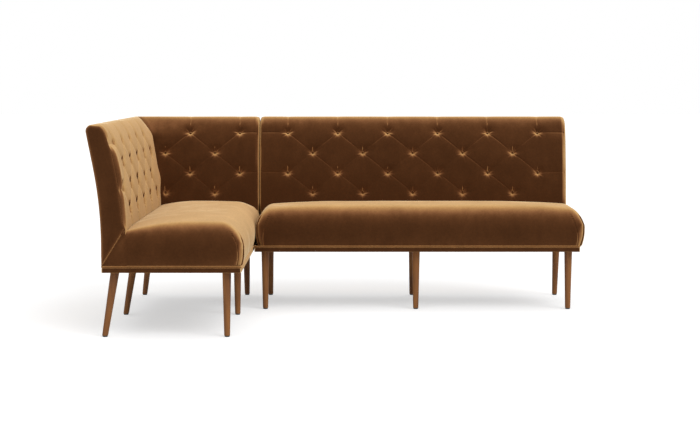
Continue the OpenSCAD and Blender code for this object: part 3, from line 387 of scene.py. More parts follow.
def wood(name, dark, mid, light, gloss=0.5):
    """Stained wood with grain along Z."""
    m, tree, shader, coords = material(name)
    rings = noise(tree, coords, 34.0, 5.0, 0.6, stretch=(1.0, 1.0, 0.09))
    fibres = noise(tree, coords, 240.0, 4.0, 0.65, stretch=(1.0, 1.0, 0.04))
    pores = noise(tree, coords, 620.0, 2.0, 0.5, stretch=(1.0, 1.0, 0.03))
    body = mixed(tree, spread(tree, rings, 0.32, 0.68), dark, light)
    body = mixed(tree, spread(tree, fibres, 0.35, 0.7, 0.0, 0.5), body, mid)
    body = mixed(tree, spread(tree, pores, 0.62, 0.72, 0.0, 0.45), body, dark)
    tree.links.new(body, shader.inputs["Base Color"])
    tree.links.new(spread(tree, fibres, 0.3, 0.7, gloss - 0.06, gloss + 0.1), shader.inputs["Roughness"])
    shader.inputs["Specular IOR Level"].default_value = 0.3
    bumped(tree, shader, maths(tree, "ADD", fibres, pores), 0.25, 0.0003)
    return m


def plain(name, low, high, scale, roughness, bump, metallic=0.0, stretch=None):
    """A surface with a fine even grain, such as moulded plastic, cloth, foam or brushed metal."""
    m, tree, shader, coords = material(name)
    grain = noise(tree, coords, scale, 4.0, 0.6, stretch=stretch)
    tree.links.new(mixed(tree, spread(tree, grain, 0.3, 0.7), low, high), shader.inputs["Base Color"])
    rough = spread(tree, grain, 0.3, 0.7, roughness - 0.05, roughness + 0.07)
    tree.links.new(rough, shader.inputs["Roughness"])
    shader.inputs["Metallic"].default_value = metallic
    bumped(tree, shader, grain, 0.4, bump)
    return m


# Colours of the velvet's painted sheen: dark face on, paler as the surface turns from the eye, palest at its
# rim
VELVET = velvet("velvet", (
    (0.0, "452813"), (0.06, "4f2f18"), (0.12, "5d3a20"), (0.2, "784f30"), (0.3, "936940"),
    (0.42, "ab8151"), (0.6, "c09965"), (0.92, "c8a273"), (1.0, "e2c79c"),
))
# Welts and seam cords: the same velvet in a paler copy, painted sheen on the curved cords, besides the
# painted sheen of the facing ramp
WELT_PAINTED_SHEEN = velvet("welt_velvet_paler_sheen", ((0.0, "664325"), (0.15, "7a5230"), (0.4, "a67a4a"), (0.9, "cfa472")))
LEG_WOOD = wood("leg_wood", srgb("54301a"), srgb("804e26"), srgb("98642f"), gloss=0.58)
FRAME_WOOD = wood("frame_wood", srgb("b08d5c"), srgb("c4a474"), srgb("d6bb8c"), gloss=0.6)
FOAM = plain("foam", srgb("e0d6ae"), srgb("ece4c4"), 400.0, 0.9, 0.0006)
WEBBING = plain("webbing", srgb("857a68"), srgb("a19580"), 500.0, 0.85, 0.0005, stretch=(1.0, 1.0, 4.0))
DUST = plain("dust_cloth", srgb("121212"), srgb("242323"), 700.0, 0.88, 0.0004)
STEEL = plain("zinc_steel", srgb("a9abae"), srgb("c3c5c8"), 300.0, 0.32, 0.0001, metallic=1.0,
              stretch=(0.2, 4.0, 4.0))
GLIDE = plain("glide_plastic", srgb("15120f"), srgb("26211c"), 900.0, 0.5, 0.0002)


# Tufted pads
FACE_POINTS, ROLL_POINTS, EDGE_POINTS = 200, 120, 60


class PadLine:
    """A pad's section at even steps, from its lower edge over the roll to the outer seam."""

    def __init__(self, step):
        z = np.linspace(PAD_LOW_Z, TUFT_HIGH_Z, FACE_POINTS)
        face = np.stack([inner_d(z), z], 1)
        turn = np.linspace(math.asin((TUFT_HIGH_Z - ROLL_Z) / ROLL_H), math.pi / 2, ROLL_POINTS)[1:]
        z = ROLL_Z + ROLL_H * np.sin(turn)
        rolled = np.stack([BACK_T - lean(z) - ROLL_D * (1 - np.cos(turn)), z], 1)
        turn = np.linspace(math.pi / 2, math.pi + RAKE, EDGE_POINTS)
        edge_d = EDGE_R / math.cos(RAKE) - float(lean(EDGE_Z))
        edge = np.stack([edge_d + EDGE_R * np.cos(turn), EDGE_Z + EDGE_R * np.sin(turn)], 1)
        line = np.concatenate([face, rolled, edge, [[-float(lean(FLAP_Z)), FLAP_Z]]])
        run = np.concatenate([[0], np.cumsum(np.linalg.norm(np.diff(line, axis=0), axis=1))])
        self.face_z, self.face_run = face[:, 1], run[: len(face)]
        self.top = run[len(face) + len(rolled) - 1]
        self.end = run[-1]
        self.s = np.linspace(0, self.end, int(round(self.end / step)) + 1)
        self.points = np.stack([np.interp(self.s, run, line[:, 0]), np.interp(self.s, run, line[:, 1])], 1)
        v = np.gradient(self.points, axis=0)
        self.normals = np.stack([v[:, 1], -v[:, 0]], 1) / np.linalg.norm(v, axis=1)[:, None]

    def at(self, z):
        """Path on the face at a height."""
        return float(np.interp(z, self.face_z, self.face_run))

    def softness(self, s):
        """Share of the padding's depth: all on the face, none at the outer seam."""
        return np.clip((self.end - s) / (self.end - self.at(TUFT_HIGH_Z)), 0, 1)


# A pad's soft edge at an end: belly above the seat, notch beside the highest tuft, less drop at the seat
BELLY, BELLY_Z, BELLY_W, BELLY_REACH = 4.2, 690.0, 75.0, 90.0
NOTCH_UP, NOTCH_W = 6.0, 33.0
SEAT_LESS, SEAT_FADE = 0.7, 22.0
TOP_BEFORE, TOP_W = 8.0, 34.0
BORDER_IN = 0.8


class End:
    """One end of a back. place, base_a and sign say where it is in its unit, and back_in how far it is moved
    in. drop and top_drop are how far the pad rounds down to its seam, on the face and at the top, and notch
    is the depth of its notch. puff is how far the end panel puffs out and over what width, and seat_side is
    the seat's bulge, shoulder and fall beside it."""

    def __init__(self, place, base_a, sign, back_in, drop, top_drop, notch, puff, seat_side):
        self.place, self.base_a, self.sign = place, base_a, sign
        self.drop, self.top_drop, self.notch, self.puff = drop, top_drop, notch, puff
        self.bulge, self.width, self.fall = seat_side
        self.out_at_seam = -back_in - BORDER_IN
        self.face_a = base_a - sign * back_in
        self.pad_a = self.face_a - sign * PANEL_SAG

    def shift(self, line):
        """How far the pad stands out of its section: a soft belly, less a notch."""
        z = line.points[:, 1]
        belly = BELLY * np.exp(-(((z - BELLY_Z) / BELLY_W) ** 2))
        fold = self.notch * np.exp(-(((z - TUFT_HIGH_Z - NOTCH_UP) / NOTCH_W) ** 2))
        return (belly - fold) * smoothstep((line.top - line.s) / 40.0)

    def seam(self, line):
        """How far the seam of pad and end panel lies inside the section: less beside the seat."""
        above = np.maximum(line.points[:, 1] - SEAM_Z - 2.0, 0)
        free = 1 - SEAT_LESS * np.exp(-above / SEAT_FADE)
        top = np.exp(-(((line.s - line.top + TOP_BEFORE) / TOP_W) ** 2))
        top = top * np.clip((line.end - line.s) / 20.0, 0, 1)
        return self.drop * line.softness(line.s) * free + self.top_drop * top


def columns(free, inner, steps):
    """Places of the tufts' columns, counted from the free end."""
    return [free + (inner - free) * k / steps for k in range(steps + 1)]


def near_line(a, s, p, q):
    """Distance across a segment, distance along it, its length, and the side on which a point lies."""
    v = np.array(q, float) - np.array(p, float)
    length = np.linalg.norm(v)
    t = np.clip(((a - p[0]) * v[0] + (s - p[1]) * v[1]) / length**2, 0, 1)
    da, ds = a - p[0] - t * v[0], s - p[1] - t * v[1]
    side = np.sign((a - p[0]) * v[1] - (s - p[1]) * v[0])
    return np.hypot(da, ds), t * length, length, side


# Folds: depth by kind, pinch and flare at a tuft, rim at the top, and laps and steps beside them
FOLD_DEPTH = {"over": 2.5, "up": 3.4, "down": 1.0, "end": 1.6}
BETWEEN_LOW_A, BETWEEN_TOP, BETWEEN_REST = 2.4, 1.3, 0.4
PINCH, PINCH_W, FAR_PINCH, FAR_PINCH_W = 7.0, 11.0, 2.5, 10.0
CREASE_W, FLARE, BETWEEN_FLARE, FLARE_W = 1.7, 0.6, 3.5, 14.0
RIM_W, RIM_DEEPER, RIM_WIDER = 16.0, 2.2, 2.4
UP_PINCH, UP_PINCH_W, UP_FADE = 5.0, 14.0, 22.0
LAP, LAP_W, LAP_BELOW = 1.15, 46.0, 9.0
STEP, STEP_W, STEP_FADE = 0.25, 8.0, 20.0

# Pits: how far they lie below their place and are drawn up at their sides. Star: wrinkles round them
PIT_BELOW, PIT_BELOW_ROW = 2.0, 2.2
DRAWN_UP, DRAWN_W = 0.55, 40.0
STAR, STAR_R, STAR_W = 0.7, 17.0, 12.0


class Tufting:
    """The tufts of a pad as (place along the back, path up its line, how far the pit lies below), and the
    folds that run from them as (start, end, depth, kind). fold is the depth of the broad folds."""

    def __init__(self, cols, ends, line, fold):
        self.line, self.fold = line, fold
        last, top_row = len(cols) - 1, TUFT_ROWS - 1
        rows = [line.at(TUFT_LOW_Z + r * ROW_RISE) for r in range(TUFT_ROWS)]
        rng = np.random.default_rng(len(cols))
        self.tufts, self.folds = [], []
        for r, y in enumerate(rows):
            for k, x in enumerate(cols):
                if (k + top_row - r) % 2:
                    continue
                self.tufts.append((x, y, PIT_BELOW + PIT_BELOW_ROW * (top_row - r)))
                for step in (-1, 1):
                    if r < top_row and 0 <= k + step <= last:
                        deep = BETWEEN_TOP if r == top_row - 1 else BETWEEN_REST
                        if cols[k + step] < x:
                            deep = BETWEEN_LOW_A
                        self.folds.append(((x, y), (cols[k + step], rows[r + 1]), deep, "between"))
                if r == top_row:
                    self.add(x, y, x, line.top + RIM_REACH, "over")
                else:
                    high = y + rng.uniform(32, 42) + 2.0 * fold
                    self.add(x, y + 2, x + rng.uniform(-2, 2), high, "up", fold)
                if r == 0:
                    self.add(x, y, x, 0.0, "down")
                for end_k, end_a in ends:
                    if k == end_k:
                        self.add(x, y, end_a, y, "end")

    def add(self, x0, y0, x1, y1, kind, more=0.0):
        """Adds a fold of a kind."""
        self.folds.append(((x0, y0), (x1, y1), FOLD_DEPTH[kind] + more, kind))

    def creases(self, a, s):
        """Broad and narrow depth of the folds, and the lap of one side over the other."""
        broad, narrow, lap = np.zeros((3, *a.shape))
        reach = 60.0
        for p, q, deep, kind in self.folds:
            hit = (a > min(p[0], q[0]) - reach) & (a < max(p[0], q[0]) + reach)
            hit &= (s > min(p[1], q[1]) - reach) & (s < max(p[1], q[1]) + reach)
            across, along, length, side = near_line(a[hit], s[hit], p, q)
            left = length - along
            between = kind == "between"
            near = np.minimum(along, left) if between else along
            far_pinch = FAR_PINCH * np.exp(-left / FAR_PINCH_W) if between else 0.0
            depth = deep + PINCH * np.exp(-along / PINCH_W) + far_pinch
            width = CREASE_W + (BETWEEN_FLARE if between else FLARE) * np.exp(-near / FLARE_W)
            if kind == "over":
                rim = np.exp(-(((length - RIM_REACH - along) / RIM_W) ** 2))
                depth = (depth + RIM_DEEPER * rim) * smoothstep(left / RIM_W)
                width = width + RIM_WIDER * rim
            if kind == "up":
                fade = smoothstep(left / UP_FADE)
                depth = (deep + UP_PINCH * np.exp(-along / UP_PINCH_W)) * fade
                below = np.exp(-((np.maximum(p[1] - s[hit], 0) / LAP_BELOW) ** 2)) * fade
                lap[hit] -= LAP * self.fold * below * np.exp(-across / LAP_W) * (side > 0)
            else:
                broad[hit] = np.maximum(broad[hit], np.clip(1 - across / FOLD_REACH, 0, 1) ** 2)
            narrow[hit] = np.maximum(narrow[hit], depth * np.exp(-((across / width) ** 1.5)))
            if between:
                lap[hit] += STEP * deep * np.exp(-across / STEP_W) * side * smoothstep(near / STEP_FADE)
        return broad, narrow, lap

    def pits(self, a, s):
        """Depth share of the tufts, drawn up at both sides, and the small wrinkles round them."""
        pit, star = np.zeros((2, *a.shape))
        rng = np.random.default_rng(len(self.tufts))
        reach = 70
        for x, y, below in self.tufts:
            hit = (np.abs(a - x) < reach) & (np.abs(s - y) < reach)
            dx, dy = a[hit] - x, s[hit] - y + below
            bent = dy - DRAWN_UP * np.abs(dx) * np.exp(-np.abs(dx) / DRAWN_W)
            tall = np.where(bent < 0, PIT_LOW, PIT_HIGH)
            share = np.exp(-(((dx / PIT_W) ** 2 + (bent / tall) ** 2) ** 0.65))
            pit[hit] = np.maximum(pit[hit], share)
            turn, dist = np.arctan2(dy, dx), np.hypot(dx, dy)
            rays = np.sin(7 * turn + rng.uniform(0, 6)) + 0.7 * np.sin(11 * turn + rng.uniform(0, 6))
            rays = STAR * rays * np.exp(-(((dist - STAR_R) / STAR_W) ** 2))
            star[hit] += rays * smoothstep(dist / 10)
        return pit, star

    def depth(self, a, s):
        """Depth below the smooth pad, in millimetres."""
        broad, narrow, lap = self.creases(a, s)
        pit, star = self.pits(a, s)
        sunk = ((PIT_DEPTH * pit) ** 3 + narrow**3) ** (1 / 3)
        return self.line.softness(s) ** 0.6 * (self.fold * broad + sunk - lap + star)


PAD_STEP = 2.25
UNEVEN, UNEVEN_SIZE = 0.7, 260.0
PAD_FACE_T, PAD_TOP_T, PAD_SEAM_T = 28.0, 9.0, 5.0

# The mitre where two backs meet: a shallow valley, full just above the seat, and a top drawn in
MITRE_A, MITRE_CELLS = 155.0, 26
VALLEY, VALLEY_W, MITRE_FADE = 5.0, 20.0, 24.0
FULLER, FULLER_Z, FULLER_W = 9.0, 590.0, 42.0
PULL_Z, PULL_W = 790.0, 100.0


def pad_places(line, cols, mitre, first_a, last_a):
    """Places of a pad's grid along the back: near even, one at each tuft, and drawn together at a mitre."""
    knots = [MITRE_A if mitre else first_a]
    knots += [a for a in cols[::-1] if a > MITRE_A or not mitre] + [last_a]
    even = np.concatenate([np.linspace(p, q, max(2, int((q - p) / PAD_STEP)) + 1)[:-1]
                           for p, q in zip(knots, knots[1:])] + [[last_a]])
    if not mitre:
        return np.tile(even, (len(line.s), 1))
    share = np.linspace(0, 1, MITRE_CELLS)[:-1]
    inner = line.points[:, :1]
    return np.concatenate([inner + share * (MITRE_A - inner), np.tile(even, (len(line.s), 1))], 1)


def mitred(line, a, s, deep):
    """Depth beside a mitre, where folds fade out and a valley runs up, and how far its top is drawn in."""
    inner, z = line.points[:, :1], line.points[:, 1:]
    off = np.maximum(a - inner, 0)
    valley = VALLEY - FULLER * np.exp(-(((z - FULLER_Z) / FULLER_W) ** 2))
    valley = valley * smoothstep((TUFT_HIGH_Z - z) / 60.0) * (s < line.top)
    rise = smoothstep((z - PULL_Z) / (TOP_Z - PULL_Z))
    flat = np.clip(1 - (s - line.top) / (line.end - line.top - 40.0), 0, 1)
    pull = MITRE_PULL * rise * flat * np.exp(-off / PULL_W)
    return deep * smoothstep(off / MITRE_FADE) + valley * np.exp(-off / VALLEY_W), pull


def pad(name, place, cols, ends, fold, cad):
    """A deep-tufted pad over the front, top and outer edge of a back. With one end, the other is a mitre."""
    line = PadLine(PAD_STEP)
    inner = line.points[:, :1]
    mitre = len(ends) == 1
    first_a, last_a = 0.0 if mitre else ends[1].pad_a, ends[0].pad_a
    a = pad_places(line, cols, mitre, first_a, last_a)
    s = np.tile(line.s[:, None], (1, a.shape[1]))
    end_folds = [(0, last_a)] if mitre else [(0, last_a), (len(cols) - 1, first_a)]
    deep = Tufting(cols, end_folds, line, fold).depth(a, s)
    uneven = UNEVEN * wave(a, s, 0 * a, 11 + len(cols), UNEVEN_SIZE)
    deep = deep + uneven * np.clip((line.end - s) / 120, 0, 1)
    for end in ends:
        gap = np.abs(a - end.pad_a)
        shift, seam = end.shift(line)[:, None], end.seam(line)[:, None]
        deep = deep * smoothstep(gap / 8.0) - shift * smoothstep(1 - gap / BELLY_REACH)
        deep = deep + (shift + seam) * np.clip(1 - gap / ROUND_W, 0, 1) ** 1.3
    pull = np.zeros(a.shape)
    if mitre:
        deep, pull = mitred(line, a, s, deep)
    d = inner - pull - deep * line.normals[:, :1]
    z = line.points[:, 1:] - deep * line.normals[:, 1:]
    if mitre:
        a = np.maximum(a, d)
        a[:, 0] = d[:, 0]
    places = [0, line.at(TUFT_HIGH_Z), line.top, line.end]
    thick = np.interp(line.s, places, [PAD_FACE_T, PAD_FACE_T, PAD_TOP_T, PAD_SEAM_T])[:, None]
    back = line.points - line.normals * thick
    first_d = back[:, 0] - pull[:, 0]
    first = np.column_stack([first_d if mitre else np.full(len(back), first_a), first_d, back[:, 1]])
    last = np.column_stack([np.full(len(back), last_a), back])
    share = np.linspace(0, 1, a.shape[1])[:, None]
    low, high = (first[i] + share * (last[i] - first[i]) for i in (0, -1))
    points, faces = closed_sheet(np.stack([a, d, z], -1), first, last, low, high)
    obj = new_piece(name, place(points), faces, VELVET, "velvet", replaces=[cad], sharp=75)


BENCH_COL_IN = 142.0
BENCH_COLS = columns(BENCH_W - BENCH_COL_IN - OFF_MIDDLE, BENCH_COL_IN - OFF_MIDDLE, 10)
SIDE_COLS = columns(CORNER_L - 88.0, 235.0, 9)
REAR_COLS = columns(FRAME_D - 94.0, 121.0, 3)
BENCH_RIGHT = End(at_bench, BENCH_W, 1, BENCH_BACK_IN, drop=12.0, top_drop=7.0, notch=3.0,
                  puff=FREE_PUFF, seat_side=(END_BULGE, END_SHOULDER, END_FALL))
BENCH_LEFT = End(at_bench, 0.0, -1, PRESSED_BACK_IN, drop=1.5, top_drop=9.0, notch=1.0,
                 puff=PRESSED_PUFF, seat_side=(-PRESSED_IN, END_SHOULDER, END_FALL))
REAR_END = End(at_corner, FRAME_D, 1, CORNER_BACK_IN, drop=4.0, top_drop=9.0, notch=1.0,
               puff=PRESSED_PUFF, seat_side=(SIDE_BULGE, SHOULDER, FALL))
SIDE_END = End(at_side, CORNER_L, 1, CORNER_BACK_IN, drop=17.0, top_drop=0.0, notch=12.0,
               puff=FREE_PUFF, seat_side=(SIDE_BULGE, CORNER_FRONT, FRONT_FALL))
SHALLOW_FOLD, DEEP_FOLD = 1.8, 6.0
pad("bench_back_velvet", at_bench, BENCH_COLS, [BENCH_RIGHT, BENCH_LEFT], SHALLOW_FOLD, "bench_back_pad")
pad("side_wing_velvet", at_side, SIDE_COLS, [SIDE_END], DEEP_FOLD, "side_wing_pad")
pad("rear_wing_velvet", at_corner, REAR_COLS, [REAR_END], SHALLOW_FOLD, "rear_wing_pad")


# Seats
def free_share(x, w):
    """Share of the crown's height at a distance from a free side, over a round shoulder."""
    return np.where(x >= w, 1.0, np.sqrt(np.maximum(0, 1 - (1 - x / w) ** 2)))


def side_share(x, w, fall, tuck):
    """The shoulder is narrower towards the back, and the crown falls a little towards a free side."""
    lost = fall[0] / CROWN_H * (1 - np.clip(x / fall[1], 0, 1)) ** 2
    return free_share(np.maximum(x, 0), w * (1 - SQUEEZE * tuck)) * (1 - lost)


def squarer(x, y):
    """Two shares of height that meet at a corner, joined more squarely than their product."""
    power = 2.2
    return 1 - ((1 - x) ** power + (1 - y) ** power) ** (1 / power)


def side_lines(width, free):
    """Distances from a side at which a seat's lines lie: close together where the surface turns."""
    if not free:
        return width * np.linspace(0, 1, 20) ** 1.4
    shoulder = width * (1 - np.cos(np.linspace(0, math.pi / 2, 28)))
    rounding = CORNER_R * (1 - math.sqrt(2) * np.sin(np.linspace(math.pi / 4, 0, 29)))
    keep = [0.0]
    for x in np.sort(np.concatenate([shoulder, rounding]))[1:]:
        if x - keep[-1] > 0.3:
            keep.append(x)
    return np.array(keep)


def lines_between(low, low_w, low_free, high, high_w, high_free, step=11.0):
    a, b = low + side_lines(low_w, low_free), high - side_lines(high_w, high_free)[::-1]
    n = max(2, int(round((b[0] - a[-1]) / step)))
    return np.concatenate([a, np.linspace(a[-1], b[0], n + 1)[1:-1], b])


def softened(x, y, r):
    """Rounds a corner in plan: two distances from its sides, moved inside the radius."""
    u, v = 1 - x / r, 1 - y / r
    inside = (u > 0) & (v > 0)
    u, v = np.clip(u, 0, 1), np.clip(v, 0, 1)
    return (
        np.where(inside, r - r * u * np.sqrt(1 - v * v / 2), x),
        np.where(inside, r - r * v * np.sqrt(1 - u * u / 2), y),
    )


class Seat:
    """One crowned seat in its unit's frame: sides [low a, high a, low d, high d], shoulder widths, free
    sides, and the fall of the crown towards its ends and front."""

    def __init__(self, sides, widths, free, fall, front_fall):
        self.e, self.w, self.f, self.fall, self.front_fall = sides, widths, free, fall, front_fall
        self.a = lines_between(sides[0], widths[0], free[0], sides[1], widths[1], free[1])
        self.d = lines_between(sides[2], widths[2], free[2], sides[3], widths[3], free[3])

    def plan(self, less=0.0):
        """Grid of places, its free sides moved in by less."""
        e, f = self.e, self.f
        near = 40.0
        lines = []
        for x, k in ((self.a, 0), (self.d, 2)):
            places = [e[k], e[k] + near, e[k + 1] - near, e[k + 1]]
            lines.append(x + np.interp(x, places, [less * f[k], 0, 0, -less * f[k + 1]]))
        a, d = np.meshgrid(*lines)
        e0, e1, e3 = e[0] + less * f[0], e[1] - less * f[1], e[3] - less * f[3]
        low = (a - e0 < e1 - a) & f[0]
        x = np.where(low, a - e0, e1 - a)
        y = e3 - d
        qx, qy = softened(x, y, CORNER_R)
        soft = low | f[1]
        qx, qy = np.where(soft, qx, x), np.where(soft, qy, y)
        return np.where(low, e0 + qx, e1 - qx), e3 - qy

    def tuck(self, a, d):
        """Share by which the seat is drawn down beside a back."""
        gaps = [a - self.e[0], self.e[1] - a, d - self.e[2], self.e[3] - d]
        tucked = [g for g, free in zip(gaps, self.f) if not free]
        return np.max([(1 - np.clip(g / TUCK_W, 0, 1)) ** 2 for g in tucked], axis=0)

    def height(self, a, d):
        """Share of the crown's height."""
        e, w = self.e, self.w
        tuck = self.tuck(a, d)
        front = side_share(e[3] - d, w[3], self.front_fall, tuck)
        side = side_share(e[1] - a, w[1], self.fall, tuck)
        if self.f[0]:
            side = np.minimum(side, side_share(a - e[0], w[0], self.fall, tuck))
        return np.maximum(squarer(front, side), 0) * (1 - SEAM_LOSS * tuck)

    def corner(self, a, d, z, high_side):
        """Angle round a free front corner, from 0 on the front to 90 on the side, and the distances from
        the side and the front."""
        e, w = self.e, self.w
        x = e[1] - a if high_side else a - e[0]
        y = e[3] - d
        side_w = w[1] if high_side else w[0]
        h = np.clip((z - FULL_Z) / CROWN_H, 0, 0.999)
        k = np.clip((FULL_Z - z) / (FULL_Z - SEAT_LOW), 0, 1)
        rounding = 1 - np.sqrt(1 - h * h)
        inset_s, inset_f = side_w * rounding + DRAW_IN * k * k, w[3] * rounding + DRAW_IN * k * k
        return np.degrees(np.arctan2(CORNER_R + inset_s - x, CORNER_R + inset_f - y)), x, y


# Heights of the pleats' angles and of their fading, and the sizes of their forms
OUTER_Z, INNER_Z = [SEAT_LOW, 433.0], [SEAT_LOW, 375.0, 437.0]
PLEAT_TOP_Z, PLEAT_FADE, PLEAT_REACH = 464.0, 34.0, 130
FLAP, FLAP_EDGE, FLAP_W = 3.9, 3.0, 22.0
RIDGE, RIDGE_EDGE, RIDGE_W = 2.0, 2.0, 9.0
GROOVE, GROOVE_W, VALLEY_EDGE = 1.8, 1.8, 3.5


def pleats(shape, a, d, z, high_side, outer_angles, inner_angles):
    """Outward shift of the cloth that is folded at a front corner: a flap behind a valley, and a ridge
    behind a groove."""
    angle, x, y = shape.corner(a, d, z, high_side)
    near = (x < PLEAT_REACH) & (y < PLEAT_REACH) & (angle > -60) & (angle < 150)
    outer = np.interp(z, OUTER_Z, outer_angles)
    inner = np.interp(z, INNER_Z, inner_angles)
    fade = smoothstep((PLEAT_TOP_Z - z) / PLEAT_FADE)
    arc = math.radians(1) * CORNER_R
    past, back = (angle - inner) * arc, (angle - outer) * arc
    rising = smoothstep(past / FLAP_EDGE)
    flap = FLAP * rising * np.exp(-np.maximum(past - FLAP_EDGE, 0) / FLAP_W) * (past > 0)
    valley = -GROOVE * np.where(past > 0, 1 - rising, np.exp(-((past / VALLEY_EDGE) ** 2)))
    ridge = RIDGE * smoothstep(back / RIDGE_EDGE) * np.exp(-np.maximum(back, 0) / RIDGE_W)
    groove = GROOVE * np.exp(-((back / GROOVE_W) ** 2))
    return np.where(near, fade * (flap + valley + (ridge - groove)), 0.0)


def vertex_normals(points, quads):
    """Unit normals that point away from the middle of a closed form."""
    out = np.zeros(points.shape)
    p = points[quads]
    n = np.cross(p[:, 2] - p[:, 0], p[:, 3] - p[:, 1])
    for i in range(4):
        np.add.at(out, quads[:, i], n)
    length = np.linalg.norm(out, axis=1)
    out = out / np.maximum(length, 1e-9)[:, None]
    mid = points.mean(0) + [0, 0, -60]
    return out if np.sum(out * (points - mid)) > 0 else -out


SIDE_RINGS, TURNED_IN, UNDER_UP = 25, 9.0, 0.4
SEAT_UNEVEN, SEAT_UNEVEN_SIZE, EVEN_TUCK, EVEN_LOW = 0.9, 330.0, 0.6, 25.0


def seat(name, place, shape, corners, cad, seed):
    """A tight crowned seat: a grid over the top, and rings down its sides to the welt."""
    a, d = shape.plan()
    top = np.stack([a, d, FULL_Z + CROWN_H * shape.height(a, d)], -1)
    rows, cols = a.shape
    rim = [(0, j) for j in range(cols - 1)] + [(i, cols - 1) for i in range(rows - 1)]
    rim += [(rows - 1, j) for j in range(cols - 1, 0, -1)] + [(i, 0) for i in range(rows - 1, 0, -1)]
    ii, jj = np.array(rim).T
    m = len(rim)
    rings = []
    for k in np.linspace(0, 1, SIDE_RINGS + 1)[1:]:
        pa, pd = shape.plan(DRAW_IN * k * k)
        rings.append(np.column_stack([pa[ii, jj], pd[ii, jj], np.full(m, FULL_Z - (FULL_Z - SEAT_LOW) * k)]))
    pa, pd = shape.plan(DRAW_IN + TURNED_IN)
    rings.append(np.column_stack([pa[ii, jj], pd[ii, jj], np.full(m, SEAT_LOW + UNDER_UP)]))
    points = np.concatenate([top.reshape(-1, 3)] + rings)
    ring = [(ii * cols + jj).tolist()]
    ring += [list(range(k, k + m)) for k in range(rows * cols, len(points), m)]
    faces = grid_faces(rows, cols)
    for high, low in zip(ring, ring[1:]):
        faces += [[high[q], low[q], low[(q + 1) % m], high[(q + 1) % m]] for q in range(m)]
    normals = vertex_normals(points, np.array(faces))
    faces.append(ring[-1][::-1])
    pa, pd, pz = points.T
    tight = 1 - np.clip(shape.tuck(pa, pd) / EVEN_TUCK, 0, 1)
    uneven = SEAT_UNEVEN * wave(pa, pd, pz, seed, SEAT_UNEVEN_SIZE)
    shift = tight * np.clip((pz - SEAT_LOW) / EVEN_LOW, 0, 1) * uneven
    for corner in corners:
        shift = shift + pleats(shape, pa, pd, pz, *corner)
    points = points + normals * shift[:, None]
    obj = new_piece(name, place(points), faces, VELVET, "velvet", replaces=[cad], sharp=80)


BENCH_SEAT = Seat(
    [PRESSED_IN, BENCH_W + END_BULGE, TUCK_D, FRAME_D + SIDE_BULGE],
    [END_SHOULDER, END_SHOULDER, TUCK_W, BENCH_FRONT],
    [True, True, False, True], END_FALL, FALL,
)
CORNER_SEAT = Seat(
    [TUCK_D, FRAME_D + SIDE_BULGE, TUCK_D, CORNER_L + SIDE_BULGE],
    [TUCK_W, SHOULDER, TUCK_W, CORNER_FRONT],
    [False, True, False, True], FALL, FRONT_FALL,
)

# Pleats' angles round a corner, in degrees: those of the outer and of the inner line, from low to high
BENCH_PLEAT = ([22.0, -10.0], [45.0, 56.0, 50.0])
CORNER_PLEAT = ([34.0, 17.0], [73.0, 70.0, 84.0])
BENCH_CORNERS = [(True, *BENCH_PLEAT), (False, *BENCH_PLEAT)]
seat("bench_seat_velvet", at_bench, BENCH_SEAT, BENCH_CORNERS, "bench_seat_cover", seed=5)
seat("corner_seat_velvet", at_corner, CORNER_SEAT, [(True, *CORNER_PLEAT)], "corner_seat_cover", seed=9)


# End panels, the seats' borders under them, and the cords between the two
PANEL_LEVEL_Z, PANEL_POINTS = 640.0, 29
BORDER_POINTS, BORDER_UNDER = 26, 4.0
CORD_R, CORD_IN = 2.0, 1.4


def even_points(p, q, n):
    return np.array(p) + np.linspace(0, 1, n)[:, None] * (np.array(q) - np.array(p))


def panel_front(end):
    """An end panel's front line, from its toe over the knee and up the back to the outer seam."""
    line = PadLine(4.0)
    edge = (line.points - end.seam(line)[:, None] * line.normals)[line.points[:, 1] > SEAM_Z]
    toe, knee = [TOE_D, SEAT_LOW + 0.6], [KNEE_D, KNEE_Z]
    return np.concatenate([even_points(toe, knee, 30)[:-1], even_points(knee, edge[0], 9)[:-1], edge[:-1]])


def edge_gap(grid, outline):
    """Least distance of each point of a grid [rows, cols, 2] to a closed outline."""
    p, q = outline, np.roll(outline, -1, 0)
    v = q - p
    length = np.maximum((v**2).sum(1), 1e-9)
    flat = grid.reshape(-1, 1, 2)
    t = np.clip(((flat - p) * v).sum(2) / length, 0, 1)
    return np.linalg.norm(flat - p - t[..., None] * v, axis=2).min(1).reshape(grid.shape[:2])


def closed_end(end, sheet, back_a):
    """Closes a sheet at an end, with its back at one place along the unit."""
    back = sheet.copy()
    back[..., 0] = back_a
    points, faces = closed_sheet(sheet, back[:, 0], back[:, -1], back[0], back[-1])
    return end.place(points), faces


def panel(end):
    """A padded end panel, rounded to its seams. Its lines run level up to a height, and then slope."""
    front = panel_front(end)
    run = np.concatenate([[0], np.cumsum(np.linalg.norm(np.diff(front, axis=0), axis=1))])
    level = PANEL_LEVEL_Z
    k = int(np.argmax(front[:, 1] > level))
    z = front[:, 1].copy()
    z[k:] = level + (FLAP_Z - 3.0 - level) * (run[k:] - run[k]) / (run[-1] - run[k])
    rear = np.column_stack([-lean(z), z])
    share = (1 - np.cos(np.linspace(0, math.pi, PANEL_POINTS))) / 2
    grid = rear[:, None] + share[None, :, None] * (front - rear)[:, None]
    gap = edge_gap(grid, np.concatenate([front, rear[::-1]]))
    puff, puff_w = end.puff
    out = puff * (1 - np.exp(-gap / puff_w)) - PANEL_SAG * np.clip(1 - gap / PANEL_EDGE_W, 0, 1) ** 2
    sheet = np.concatenate([(end.face_a + end.sign * out)[..., None], grid], 2)
    return closed_end(end, sheet, end.face_a - end.sign * PANEL_T)


